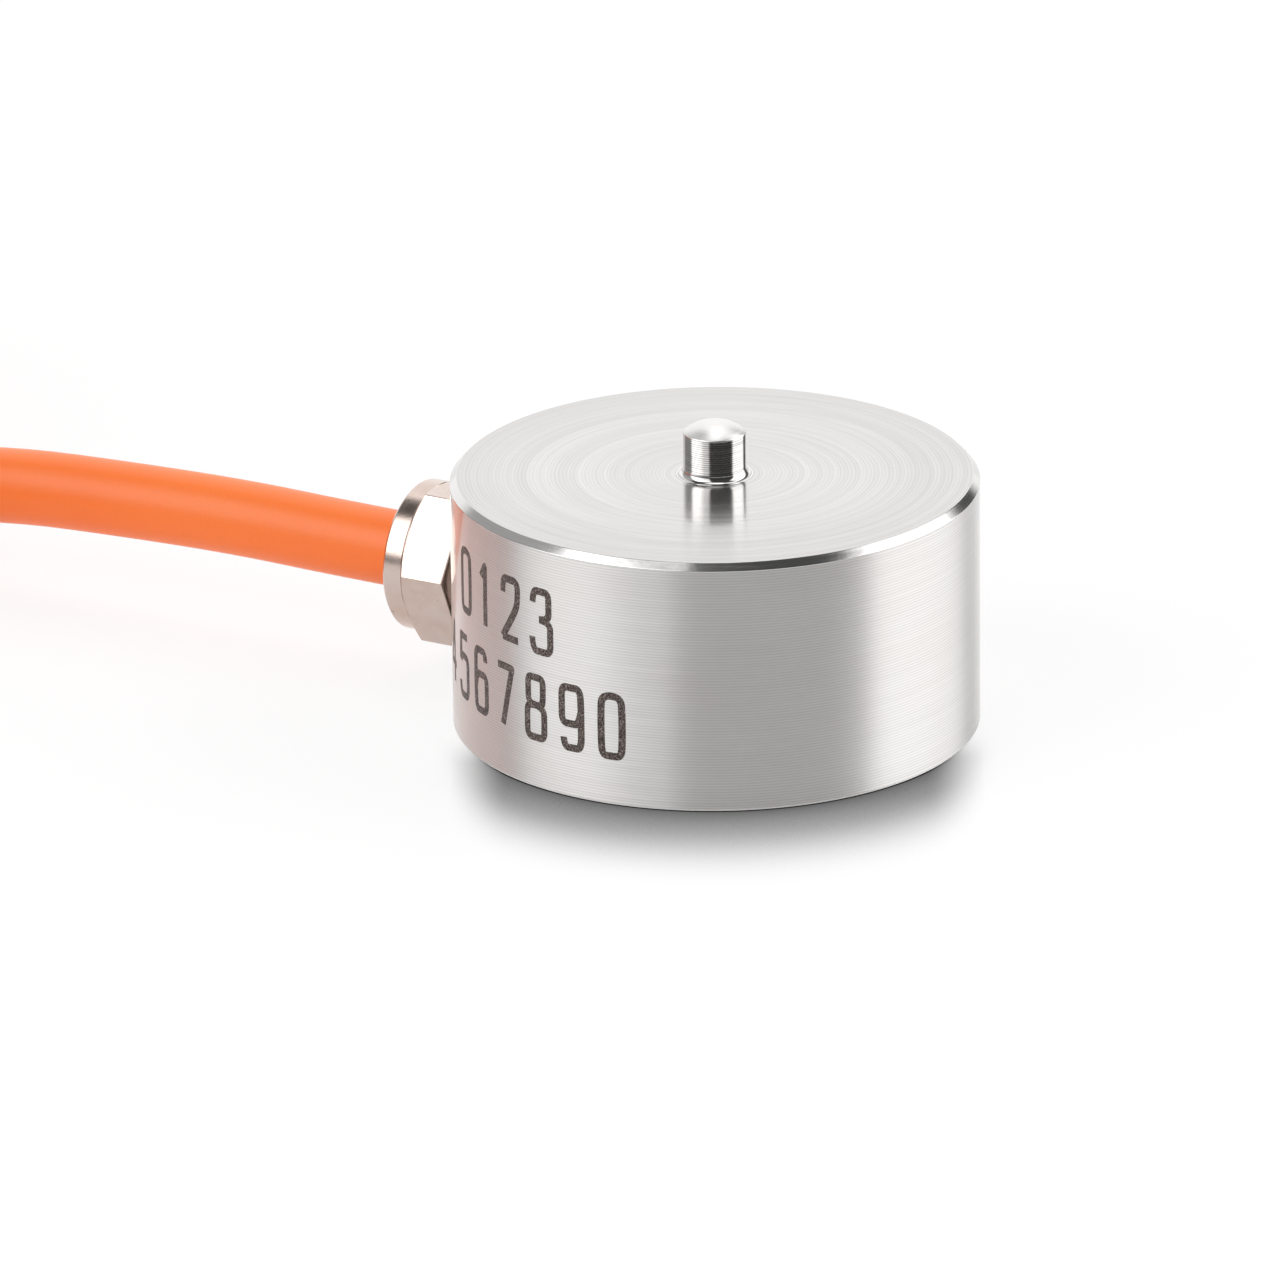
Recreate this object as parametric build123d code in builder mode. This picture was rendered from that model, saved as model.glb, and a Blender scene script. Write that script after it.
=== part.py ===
from build123d import *
import math
import os

# A miniature button load cell with its cable, in millimetres. The origin is the centre of the base,
# +Z is the load axis, and the cable leaves the side of the body along -X.

# Body: ring wall, diaphragm and button, turned from one piece
body_diameter = 20.0
body_height = 9.8
body_top_chamfer = 0.26
body_base_chamfer = 0.1
wall_thickness = 2.7
diaphragm_thickness = 0.6
boss_diameter = 4.4
boss_depth = 1.2
bay_depth = 1.2
ledge_width = 0.8
root_fillet = 0.3

# Load button
button_diameter = 2.38
button_shank = 1.67
button_dome = 0.43
button_root_fillet = 0.22
button_rim_fillet = 0.08

# Base cover
cover_thickness = 1.2
cover_recess = 0.1
cover_seat_width = 1.0

# Cable fitting
hex_across_flats = 5.8
hex_length = 2.0
hex_turn = 4.8
hex_chamfer_angle = 30.0
hex_gap = 0.1
collar_length = 0.9
collar_edge = 0.12
thread_diameter = 5.0
thread_clearance = 0.03
thread_end_gap = 0.1
bore_mouth_chamfer = 0.12

# Cable and its cores
cable_diameter = 2.95
cable_clearance = 0.05
core_diameter = 0.75
core_spread = 0.42
drain_diameter = 0.4

# Cable end inside the body
jacket_reach = 2.3
braid_thickness = 0.15
braid_length = 2.15
ferrule_wall = 0.3
ferrule_length = 1.9
ferrule_gap = 0.05
sleeve_clearance = 0.02
core_run = 1.1

# Terminal board with its solder and resistors
board_thickness = 0.6
board_hole_diameter = 5.8
board_clearance = 0.1
near_pad_angle = 112.0
far_pad_angle = 65.0
core_joint_diameter = 1.1
core_joint_height = 0.5
resistor_length = 1.6
resistor_width = 0.8
resistor_height = 0.45
resistor_angles = {"zero_resistor": 28.0, "span_resistor": 0.0, "modulus_resistor": -28.0}
resistor_joint_length = 0.35

# Strain gauges
gauge_angles = (45.0, 135.0, 225.0, 315.0)
gauge_edge_gap = 0.1
gauge_width = 2.4
gauge_film_thickness = 0.08
gauge_foil_thickness = 0.04
gauge_margin = 0.25
grid_line_width = 0.1
grid_pitch = 0.2
grid_line_count = 8
grid_loop_width = 0.15
tab_size = 0.7
tab_spacing = 1.2
tab_neck = 0.25

# Gauge leads and their solder
lead_diameter = 0.16
lead_span = 1.2
lead_joint_diameter = 0.5
lead_joint_height = 0.15

# Free cable, which comes down to the floor and turns a little to the side. Each point has its distances along
# the outlet and to the side as shares of the reach, and its height as a share of the outlet's. The last run
# leads straight on.
cable_reach = 31.2
cable_course = [
    (0.0, 0.0, 1.0),
    (0.113, 0.0, 1.0),
    (0.253, 0.0, 1.03),
    (0.412, 0.0, 0.98),
    (0.592, 0.0, 0.885),
    (0.737, 0.0, 0.6),
    (0.873, 0.016, 0.2),
    (1.0, 0.046, 0.0),
]
cable_last_run = 0.115
cable_side_turn = 20.0

# Wound part of the cable and its tie. Angles round the coil start where the cable enters it.
turn_columns = 4
turn_layers = 4
turn_gap = 0.05
coil_middle_diameter = 34.5
lead_in_clearance = 0.4
tie_from_entry = 155.0
tie_width = 5.0
tie_thickness = 0.6
tie_corner = 1.0
tie_slack = 0.2

# Tail on top of the coil, with the shrink sleeve and the stripped cores
tail_lift = 0.25
tail_from_entry = 60.0
tail_turn = 170.0
tail_run = 4.2
shrink_wall = 0.16
shrink_overlap = 4.0
shrink_reach = 3.5
core_exit_run = 2.9
shrink_taper = 1.0
core_bundle_clearance = 0.03
wire_lift = 0.03
drain_lift = 0.05
tip_diameter = 0.45
tip_length = 4.0

# Sizes that follow from the driving ones
body_radius = body_diameter / 2
hollow_radius = body_radius - wall_thickness
bay_radius = hollow_radius - ledge_width
boss_radius = boss_diameter / 2
button_radius = button_diameter / 2
dome_rim = body_height + button_shank
dome_radius = (button_radius**2 + button_dome**2) / (2 * button_dome)
bay_ceiling = body_height - diaphragm_thickness
board_top = bay_ceiling - bay_depth
board_underside = board_top - board_thickness
cover_top = cover_recess + cover_thickness
cover_radius = hollow_radius + cover_seat_width
outlet_height = (cover_top + board_underside) / 2
hex_face = -body_radius - hex_gap
hex_end = hex_face - hex_length
exit_x = hex_end - collar_length
collar_radius = hex_across_flats / 2
hex_corner_radius = collar_radius / math.cos(math.radians(30))
hex_chamfer_length = (hex_corner_radius - collar_radius) * math.tan(math.radians(hex_chamfer_angle))
thread_radius = thread_diameter / 2
thread_end = -hollow_radius - thread_end_gap
cable_radius = cable_diameter / 2
jacket_end = -hollow_radius + jacket_reach
ferrule_start = -hollow_radius - ferrule_gap
core_radius = core_diameter / 2
drain_radius = drain_diameter / 2
board_radius = hollow_radius - board_clearance
board_hole_radius = board_hole_diameter / 2
pad_circle = (board_radius + board_hole_radius) / 2
core_joint_end = board_underside - core_joint_height
gauge_inner = boss_radius + root_fillet + gauge_edge_gap
gauge_outer = bay_radius - root_fillet - gauge_edge_gap
film_underside = bay_ceiling - gauge_film_thickness
foil_underside = film_underside - gauge_foil_thickness
tab_center = gauge_outer - gauge_margin - tab_size / 2
grid_start = gauge_inner + gauge_margin
grid_end = tab_center - tab_size / 2 - tab_neck
turn_pitch = cable_diameter + turn_gap
coil_height = turn_layers * turn_pitch
coil_middle = coil_middle_diameter / 2
coil_inner = coil_middle - turn_columns * turn_pitch / 2
coil_outer = coil_middle + turn_columns * turn_pitch / 2
outer_turn = coil_outer - turn_pitch / 2
tail_height = coil_height + tail_lift + cable_radius
shrink_radius = cable_radius + sleeve_clearance + shrink_wall
bundle_radius = core_spread * math.sqrt(2) + core_radius + core_bundle_clearance

# The free cable, from the mouth of the fitting to the straight that leads into the coil. It leaves in line
# with the bore, sinks slowly and comes to lie on the surface that the body stands on. Its last direction is a
# tangent of the outermost turn.
outlet_drop = outlet_height - cable_radius
cable_route = []
for along, aside, height in cable_course:
    level = cable_radius + height * outlet_drop
    cable_route.append((exit_x - along * cable_reach, aside * cable_reach, level))
side_turn = math.radians(cable_side_turn)
entry_heading = Vector(-math.cos(side_turn), math.sin(side_turn), 0)
cable_end = Vector(*cable_route[-1]) + entry_heading * (cable_last_run * cable_reach)
cable_route.append(tuple(cable_end))
coil_lead_in = math.sqrt(coil_outer**2 - (outer_turn - cable_radius) ** 2) + lead_in_clearance
coil_entry = cable_end + entry_heading * coil_lead_in
coil_x = coil_entry.X - outer_turn * math.sin(side_turn)
coil_y = coil_entry.Y - outer_turn * math.cos(side_turn)
entry_angle = 90 - cable_side_turn
tie_angle = entry_angle + tie_from_entry
tail_start_angle = entry_angle + tail_from_entry


def corner_radii(points, share=0.45):
    """The largest arc for each corner of a route that leaves both of its runs some straight length."""
    radii = []
    for before, corner, after in zip(points, points[1:], points[2:]):
        run_in = Vector(*corner) - Vector(*before)
        run_out = Vector(*after) - Vector(*corner)
        half_turn = math.radians(run_in.get_angle(run_out) / 2)
        radii.append(share * min(run_in.length, run_out.length) / math.tan(half_turn))
    return radii


def section_at_start(line):
    """The plane across the start of a line, for the section that is swept along it."""
    return Plane(origin=line @ 0, z_dir=line % 0)


def compare_volume(name, solid, radius, line):
    """Print a tube's volume beside its section times its length."""
    length = sum(edge.length for edge in line.edges())
    expected = math.pi * radius**2 * length
    print(f"{name}: length {length:.2f}, volume {solid.volume:.3f}, section x length {expected:.3f}")


def around_axis(radius, sideways, angle):
    """A point at a radius about the load axis, moved sideways, for a piece that stands at an angle."""
    turn = math.radians(angle)
    x = radius * math.cos(turn) - sideways * math.sin(turn)
    y = radius * math.sin(turn) + sideways * math.cos(turn)
    return x, y


def around_coil(radius, angle, height):
    """A point given by its radius and angle about the middle of the coil."""
    turn = math.radians(angle)
    return coil_x + radius * math.cos(turn), coil_y + radius * math.sin(turn), height


def circles_at(solid, height, tolerance=0.001):
    """The circular edges of a turned piece at one height."""
    circles = solid.edges().filter_by(GeomType.CIRCLE)
    return circles.filter_by(lambda edge: abs(edge.center().Z - height) < tolerance)


os.makedirs("parts", exist_ok=True)

# Load body: half section turned about the load axis, its fillets, then the tapped hole for the fitting
with BuildPart() as load_body:
    with BuildSketch(Plane.XZ):
        with BuildLine():
            Polyline(
                (0, dome_rim + button_dome),
                (0, bay_ceiling - boss_depth),
                (boss_radius, bay_ceiling - boss_depth),
                (boss_radius, bay_ceiling),
                (bay_radius, bay_ceiling),
                (bay_radius, board_top),
                (hollow_radius, board_top),
                (hollow_radius, cover_top),
                (cover_radius, cover_top),
                (cover_radius, 0),
                (body_radius - body_base_chamfer, 0),
                (body_radius, body_base_chamfer),
                (body_radius, body_height - body_top_chamfer),
                (body_radius - body_top_chamfer, body_height),
                (button_radius, body_height),
                (button_radius, dome_rim),
            )
            RadiusArc((button_radius, dome_rim), (0, dome_rim + button_dome), -dome_radius)
        make_face()
    revolve(axis=Axis.Z)
    fillet(circles_at(load_body, bay_ceiling), root_fillet)
    button_root = circles_at(load_body, body_height).sort_by(SortBy.RADIUS)[0]
    fillet(button_root, button_root_fillet)
    fillet(circles_at(load_body, dome_rim), button_rim_fillet)
    with BuildSketch(Plane(origin=(-body_radius, 0, outlet_height), z_dir=(1, 0, 0))):
        Circle(thread_radius + thread_clearance)
    extrude(amount=wall_thickness + ledge_width, both=True, mode=Mode.SUBTRACT)
load_body.part.label = "load_body"
export_step(load_body.part, "parts/load_body.step")

# Base cover: disc welded into the seat in the base, a little below the ring that carries the load
with BuildPart() as base_cover:
    with BuildSketch(Plane.XY.offset(cover_recess)):
        Circle(cover_radius)
    extrude(amount=cover_thickness)
    chamfer(base_cover.faces().sort_by(Axis.Z)[0].edges(), cover_recess)
base_cover.part.label = "base_cover"
export_step(base_cover.part, "parts/base_cover.step")

# Cable fitting: hexagon with its outer corners turned off, round collar, threaded stub, and the bore for
# the cable
fitting_plane = Plane(origin=(hex_face, 0, outlet_height), x_dir=(0, -1, 0), z_dir=(-1, 0, 0))
outlet_axis = Axis((0, 0, outlet_height), (-1, 0, 0))
with BuildPart() as cable_fitting:
    with BuildSketch(fitting_plane):
        RegularPolygon(radius=collar_radius, side_count=6, major_radius=False, rotation=hex_turn)
    extrude(amount=hex_length)
    with BuildSketch(Plane.XZ):
        with BuildLine():
            Polyline(
                (hex_face, outlet_height),
                (hex_face, outlet_height + hex_corner_radius),
                (hex_end + hex_chamfer_length, outlet_height + hex_corner_radius),
                (hex_end, outlet_height + collar_radius),
                (hex_end, outlet_height),
                close=True,
            )
        make_face()
    revolve(axis=outlet_axis, mode=Mode.INTERSECT)
    with BuildSketch(fitting_plane.offset(hex_length)):
        Circle(collar_radius)
    extrude(amount=collar_length)
    chamfer(cable_fitting.faces().sort_by(Axis.X)[0].edges(), collar_edge)
    with BuildSketch(fitting_plane):
        Circle(thread_radius)
    extrude(amount=hex_face - thread_end)
    with BuildSketch(fitting_plane):
        Circle(cable_radius + cable_clearance)
    extrude(amount=hex_length + collar_length, mode=Mode.SUBTRACT)
    with BuildSketch(fitting_plane):
        Circle(cable_radius + cable_clearance)
    extrude(amount=hex_face - thread_end, mode=Mode.SUBTRACT)
    bore_mouth = cable_fitting.faces().sort_by(Axis.X)[0].edges().sort_by(SortBy.RADIUS)[0]
    chamfer(bore_mouth, bore_mouth_chamfer)
cable_fitting.part.label = "cable_fitting"
export_step(cable_fitting.part, "parts/cable_fitting.step")

# Inner end of the jacket: through the fitting and a little way into the hollow
with BuildPart() as cable_inner_end:
    with BuildSketch(Plane(origin=(exit_x, 0, outlet_height), z_dir=(1, 0, 0))):
        Circle(cable_radius)
    extrude(amount=jacket_end - exit_x)
cable_inner_end.part.label = "cable_inner_end"
export_step(cable_inner_end.part, "parts/cable_inner_end.step")

# Shield braid folded back over the jacket, and the ferrule that is crimped over it
braid_inner = cable_radius + sleeve_clearance
ferrule_inner = braid_inner + braid_thickness + sleeve_clearance
inlet_plane = Plane(origin=(ferrule_start, 0, outlet_height), z_dir=(1, 0, 0))
with BuildPart() as shield_braid:
    with BuildSketch(inlet_plane):
        Circle(braid_inner + braid_thickness)
        Circle(braid_inner, mode=Mode.SUBTRACT)
    extrude(amount=braid_length)
shield_braid.part.label = "shield_braid"
export_step(shield_braid.part, "parts/shield_braid.step")

with BuildPart() as clamp_ferrule:
    with BuildSketch(inlet_plane):
        Circle(ferrule_inner + ferrule_wall)
        Circle(ferrule_inner, mode=Mode.SUBTRACT)
    extrude(amount=ferrule_length)
clamp_ferrule.part.label = "clamp_ferrule"
export_step(clamp_ferrule.part, "parts/clamp_ferrule.step")

# Terminal board against the ledge
with BuildPart() as terminal_board:
    with BuildSketch(Plane.XY.offset(board_underside)):
        Circle(board_radius)
        Circle(board_hole_radius, mode=Mode.SUBTRACT)
    extrude(amount=board_thickness)
terminal_board.part.label = "terminal_board"
export_step(terminal_board.part, "parts/terminal_board.step")

# Cores in the body: each goes from the jacket across the hollow and up to its solder joint under the board.
# The two upper ones take the pads near the cable, and the two lower ones the pads beyond.
inner_cores = {
    "inner_core_red": (1, 1, near_pad_angle),
    "inner_core_black": (-1, 1, near_pad_angle),
    "inner_core_green": (1, -1, far_pad_angle),
    "inner_core_white": (-1, -1, far_pad_angle),
}
for name, (side, level, pad_angle) in inner_cores.items():
    core_y = side * core_spread
    core_z = outlet_height + level * core_spread
    pad_x, pad_y = around_axis(pad_circle, 0, side * pad_angle)
    core_points = [
        (jacket_end, core_y, core_z),
        (jacket_end + core_run, core_y, core_z),
        (pad_x, pad_y, core_z),
        (pad_x, pad_y, core_joint_end),
    ]
    with BuildPart() as inner_core:
        with BuildLine() as core_line:
            FilletPolyline(*core_points, radius=corner_radii(core_points))
        with BuildSketch(section_at_start(core_line.line)):
            Circle(core_radius)
        sweep()
    inner_core.part.label = name
    export_step(inner_core.part, f"parts/{name}.step")

with BuildPart() as core_solder_joints:
    for side in (1, -1):
        for pad_angle in (near_pad_angle, far_pad_angle):
            with Locations((*around_axis(pad_circle, 0, side * pad_angle), board_underside)):
                Cone(
                    bottom_radius=core_radius,
                    top_radius=core_joint_diameter / 2,
                    height=core_joint_height,
                    align=(Align.CENTER, Align.CENTER, Align.MAX),
                )
core_solder_joints.part.label = "core_solder_joints"
export_step(core_solder_joints.part, "parts/core_solder_joints.step")

# Resistors under the board, each lying across the radius, with a solder joint at each end
for name, angle in resistor_angles.items():
    with BuildPart() as resistor:
        with BuildSketch(Plane(origin=(0, 0, board_underside), z_dir=(0, 0, -1)).rotated((0, 0, -angle))):
            with Locations((pad_circle, 0)):
                Rectangle(resistor_width, resistor_length)
        extrude(amount=resistor_height)
    resistor.part.label = name
    export_step(resistor.part, f"parts/{name}.step")

with BuildPart() as resistor_solder_joints:
    for angle in resistor_angles.values():
        for end in (1, -1):
            across = Vector(*around_axis(0, end, angle))
            outward = Vector(*around_axis(1, 0, angle))
            place = (*around_axis(pad_circle, end * resistor_length / 2, angle), board_underside)
            with BuildSketch(Plane(origin=place, x_dir=across, z_dir=outward * end)):
                Polygon((0, 0), (resistor_joint_length, 0), (0, -resistor_height), align=None)
            extrude(amount=resistor_width / 2, both=True)
resistor_solder_joints.part.label = "resistor_solder_joints"
export_step(resistor_solder_joints.part, "parts/resistor_solder_joints.step")

# Strain gauges on the underside of the diaphragm: a carrier film each, and a foil with its measuring grid
# along the radius, whose outer lines run on to two tabs
grid_half_width = (grid_line_count - 1) * grid_pitch / 2
inner_loop_center = grid_start + grid_loop_width / 2
outer_loop_center = grid_end - grid_loop_width / 2
for number, angle in enumerate(gauge_angles, start=1):
    with BuildPart() as gauge_film:
        with BuildSketch(Plane.XY.offset(film_underside).rotated((0, 0, angle))):
            with Locations(((gauge_inner + gauge_outer) / 2, 0)):
                Rectangle(gauge_outer - gauge_inner, gauge_width)
        extrude(amount=gauge_film_thickness)
    gauge_film.part.label = f"gauge_film_{number}"
    export_step(gauge_film.part, f"parts/gauge_film_{number}.step")

    with BuildPart() as gauge_foil:
        with BuildSketch(Plane.XY.offset(foil_underside).rotated((0, 0, angle))):
            for line in range(grid_line_count):
                with Locations(((grid_start + grid_end) / 2, line * grid_pitch - grid_half_width)):
                    Rectangle(grid_end - grid_start, grid_line_width)
            for loop in range(grid_line_count - 1):
                loop_center = outer_loop_center if loop % 2 else inner_loop_center
                with Locations((loop_center, (loop + 0.5) * grid_pitch - grid_half_width)):
                    Rectangle(grid_loop_width, grid_pitch + grid_line_width)
            for side in (1, -1):
                with Locations((tab_center, side * tab_spacing / 2)):
                    Rectangle(tab_size, tab_size)
                with Locations((grid_end + tab_neck / 2, side * grid_half_width)):
                    Rectangle(tab_neck, grid_line_width)
        extrude(amount=gauge_foil_thickness)
    gauge_foil.part.label = f"gauge_foil_{number}"
    export_step(gauge_foil.part, f"parts/gauge_foil_{number}.step")

# Solder on the gauge tabs and on the board, and the fine leads between them, two for each gauge
tab_joint_end = foil_underside - lead_joint_height
board_joint_end = board_top + lead_joint_height
lead_level = (tab_joint_end + board_joint_end) / 2
lead_radius = lead_diameter / 2
with BuildPart() as tab_solder_joints:
    for angle in gauge_angles:
        for side in (1, -1):
            with Locations((*around_axis(tab_center, side * tab_spacing / 2, angle), foil_underside)):
                Cone(
                    bottom_radius=lead_radius,
                    top_radius=lead_joint_diameter / 2,
                    height=lead_joint_height,
                    align=(Align.CENTER, Align.CENTER, Align.MAX),
                )
tab_solder_joints.part.label = "tab_solder_joints"
export_step(tab_solder_joints.part, "parts/tab_solder_joints.step")

with BuildPart() as board_solder_joints:
    for angle in gauge_angles:
        for side in (1, -1):
            with Locations((*around_axis(tab_center - lead_span, side * tab_spacing / 2, angle), board_top)):
                Cone(
                    bottom_radius=lead_joint_diameter / 2,
                    top_radius=lead_radius,
                    height=lead_joint_height,
                    align=(Align.CENTER, Align.CENTER, Align.MIN),
                )
board_solder_joints.part.label = "board_solder_joints"
export_step(board_solder_joints.part, "parts/board_solder_joints.step")

for number, angle in enumerate(gauge_angles, start=1):
    for side_name, side in (("left", 1), ("right", -1)):
        sideways = side * tab_spacing / 2
        tab_x, tab_y = around_axis(tab_center, sideways, angle)
        pad_x, pad_y = around_axis(tab_center - lead_span, sideways, angle)
        lead_points = [
            (tab_x, tab_y, tab_joint_end),
            (tab_x, tab_y, lead_level),
            (pad_x, pad_y, lead_level),
            (pad_x, pad_y, board_joint_end),
        ]
        with BuildPart() as gauge_lead:
            with BuildLine() as lead_line:
                FilletPolyline(*lead_points, radius=corner_radii(lead_points))
            with BuildSketch(section_at_start(lead_line.line)):
                Circle(lead_radius)
            sweep()
        gauge_lead.part.label = f"gauge_lead_{number}_{side_name}"
        export_step(gauge_lead.part, f"parts/gauge_lead_{number}_{side_name}.step")

# Free cable between the fitting and the coil
cable_radii = corner_radii(cable_route)
print("cable arc radii:", ", ".join(f"{radius:.1f}" for radius in cable_radii))
with BuildPart() as cable:
    with BuildLine() as cable_line:
        FilletPolyline(*cable_route, radius=cable_radii)
    with BuildSketch(section_at_start(cable_line.line)):
        Circle(cable_radius)
    sweep()
cable.part.label = "cable"
export_step(cable.part, "parts/cable.step")
compare_volume("cable", cable.part, cable_radius, cable_line.line)

# Tie: a strap round the turns and the tail, in the plane across the coil at the tie's angle
tie_turn = math.radians(tie_angle)
tie_plane = Plane(
    origin=(coil_x, coil_y, 0),
    x_dir=(math.cos(tie_turn), math.sin(tie_turn), 0),
    z_dir=(math.sin(tie_turn), -math.cos(tie_turn), 0),
)
tie_shoulder = coil_height - tie_corner
tie_roof = tail_height + cable_radius + tie_slack
tie_slope = tie_roof - tie_shoulder
tie_corners = [
    (coil_inner, tie_thickness),
    (coil_outer, tie_thickness),
    (coil_outer, tie_shoulder),
    (coil_outer - tie_slope, tie_roof),
    (coil_inner + tie_slope, tie_roof),
    (coil_inner, tie_shoulder),
]
with BuildPart() as coil_tie:
    with BuildSketch(tie_plane):
        with BuildLine():
            FilletPolyline(*tie_corners, radius=tie_corner, close=True)
        make_face()
        offset(amount=tie_thickness)
        with BuildLine():
            FilletPolyline(*tie_corners, radius=tie_corner, close=True)
        make_face(mode=Mode.SUBTRACT)
    extrude(amount=tie_width / 2, both=True)
coil_tie.part.label = "coil_tie"
export_step(coil_tie.part, "parts/coil_tie.step")

# Coil: the outer shape of the wound turns, with the stretch that leads into the outermost one. The tie sinks
# into it.
with BuildPart() as cable_coil:
    with BuildSketch():
        with Locations((coil_x, coil_y)):
            Circle(coil_outer)
            Circle(coil_inner, mode=Mode.SUBTRACT)
    extrude(amount=coil_height)
    fillet(cable_coil.edges().filter_by(GeomType.CIRCLE), cable_radius)
    with BuildSketch(Plane(origin=coil_entry, z_dir=-entry_heading)):
        Circle(cable_radius)
    extrude(amount=coil_lead_in)
    add(coil_tie.part, mode=Mode.SUBTRACT)
cable_coil.part.label = "cable_coil"
export_step(cable_coil.part, "parts/cable_coil.step")

# Tail: the last stretch of the cable, which follows the turns on top of the coil and then leaves them
# straight
tail_end_angle = tail_start_angle + tail_turn
tail_start = Vector(*around_coil(coil_middle, tail_start_angle, tail_height))
with BuildPart() as cable_tail:
    with BuildLine() as tail_line:
        tail_arc = CenterArc((coil_x, coil_y, tail_height), coil_middle, tail_start_angle, tail_turn)
        Line(tail_arc @ 1, tail_arc @ 1 + (tail_arc % 1) * tail_run)
    with BuildSketch(Plane(origin=tail_start, z_dir=tail_arc % 0)):
        Circle(cable_radius)
    sweep()
cable_tail.part.label = "cable_tail"
export_step(cable_tail.part, "parts/cable_tail.step")
compare_volume("cable_tail", cable_tail.part, cable_radius, tail_line.line)

# Shrink sleeve over the end of the jacket and the bundle of cores, drawn along the tail's last straight
# stretch
tail_tip = tail_arc @ 1 + (tail_arc % 1) * tail_run
tail_heading = tail_arc % 1
sleeve_plane = Plane(origin=tail_tip, x_dir=tail_heading, z_dir=tail_heading.cross(Vector(0, 0, 1)))
sleeve_axis = Axis(tail_tip, tail_heading)
with BuildPart() as end_sleeve:
    with BuildSketch(sleeve_plane):
        with BuildLine():
            Polyline(
                (-shrink_overlap, cable_radius + sleeve_clearance),
                (-shrink_overlap, shrink_radius),
                (0, shrink_radius),
                (shrink_taper, bundle_radius + shrink_wall),
                (shrink_reach, bundle_radius + shrink_wall),
                (shrink_reach, bundle_radius),
                (0, bundle_radius),
                (0, cable_radius + sleeve_clearance),
                close=True,
            )
        make_face()
    revolve(axis=sleeve_axis)
end_sleeve.part.label = "end_sleeve"
export_step(end_sleeve.part, "parts/end_sleeve.step")

# Stripped cores and drain wire: they leave the sleeve, fan out and come to lie on top of the coil. Each wire
# has its side and level in the bundle, and the points where it bends: the distance outside the middle of the
# turns, the angle past the end of the tail's arc, and the height above the coil.
inward = Vector(0, 0, 1).cross(tail_heading)
core_lie = core_radius + wire_lift
drain_lie = drain_radius + drain_lift
end_wires = {
    "end_core_white": (1, -1, [(0.7, 47, 2 * core_radius), (-1.5, 68, core_lie), (-2.9, 92, core_lie)]),
    "end_core_green": (1, 1, [(1.5, 46, 3.6 * core_radius), (-0.4, 66, core_lie), (-1.5, 88, core_lie)]),
    "end_drain": (0, 0, [(2.4, 45, 5 * drain_radius), (0.7, 64, drain_lie), (-0.1, 84, drain_lie)]),
    "end_core_red": (-1, 1, [(3.3, 44, 3.6 * core_radius), (1.8, 62, core_lie), (1.2, 81, core_lie)]),
    "end_core_black": (-1, -1, [(4.1, 43, 2 * core_radius), (2.9, 60, core_lie), (2.7, 78, core_lie)]),
}
for name, (side, level, bends) in end_wires.items():
    wire_radius = drain_radius if name == "end_drain" else core_radius
    offset_in_bundle = inward * (side * core_spread) + Vector(0, 0, level * core_spread)
    wire_points = [
        tail_tip + offset_in_bundle,
        tail_tip + offset_in_bundle + tail_heading * (shrink_reach + core_exit_run),
    ]
    for outside, angle, height in bends:
        bend = around_coil(coil_middle + outside, tail_end_angle + angle, coil_height + height)
        wire_points.append(Vector(*bend))
    wire_radii = corner_radii([tuple(point) for point in wire_points])
    with BuildPart() as end_wire:
        with BuildLine() as wire_line:
            FilletPolyline(*wire_points, radius=wire_radii)
        with BuildSketch(section_at_start(wire_line.line)):
            Circle(wire_radius)
        sweep()
    end_wire.part.label = name
    export_step(end_wire.part, f"parts/{name}.step")
    compare_volume(name, end_wire.part, wire_radius, wire_line.line)
    print(f"{name} arc radii:", ", ".join(f"{radius:.1f}" for radius in wire_radii))
    if name == "end_drain":
        continue
    with BuildPart() as wire_tip:
        with BuildSketch(Plane(origin=wire_line.line @ 1, z_dir=wire_line.line % 1)):
            Circle(tip_diameter / 2)
        extrude(amount=tip_length)
    wire_tip.part.label = name.replace("end_core", "tinned_tip")
    export_step(wire_tip.part, f"parts/{wire_tip.part.label}.step")
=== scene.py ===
"""Button load cell with its cable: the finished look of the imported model, in metres.

The file is laid out as an add-on and run as a script. It models each outer piece in place of its plain solid,
gives every shown piece a finish, and sets up the floor, the studio light and the camera.
"""
import math

import bpy
from mathutils import Matrix, Vector


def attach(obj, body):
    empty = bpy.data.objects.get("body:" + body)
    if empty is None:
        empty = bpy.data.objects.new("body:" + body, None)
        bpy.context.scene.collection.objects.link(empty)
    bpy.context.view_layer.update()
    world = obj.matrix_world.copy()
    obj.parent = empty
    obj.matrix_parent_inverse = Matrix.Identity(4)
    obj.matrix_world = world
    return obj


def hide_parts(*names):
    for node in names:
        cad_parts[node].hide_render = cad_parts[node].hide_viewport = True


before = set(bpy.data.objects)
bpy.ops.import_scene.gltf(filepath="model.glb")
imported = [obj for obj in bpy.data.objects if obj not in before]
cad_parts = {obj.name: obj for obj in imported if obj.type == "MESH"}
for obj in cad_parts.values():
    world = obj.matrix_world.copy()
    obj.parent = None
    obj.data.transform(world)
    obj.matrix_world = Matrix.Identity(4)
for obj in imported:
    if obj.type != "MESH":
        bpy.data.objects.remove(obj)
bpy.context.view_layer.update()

bl_info = {
    "name": "Button Load Cell",
    "version": (1, 0, 0),
    "blender": (4, 5, 0),
    "location": "View3D > Sidebar > Load Cell",
    "description": "Models a miniature button load cell with its cable fitting and its coiled cable",
    "category": "Add Mesh",
}

MM = 0.001
OUTWARD = Vector((-1, 0, 0))
UP = Vector((0, 0, 1))
SIZES = "load_cell_sizes"
COLOURS = "load_cell_colours"


def length_setting(name, description, default):
    """A size that a user can change, in metres."""
    return bpy.props.FloatProperty(
        name=name, description=description, default=default, min=0.0, precision=5, unit="LENGTH"
    )


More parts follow.
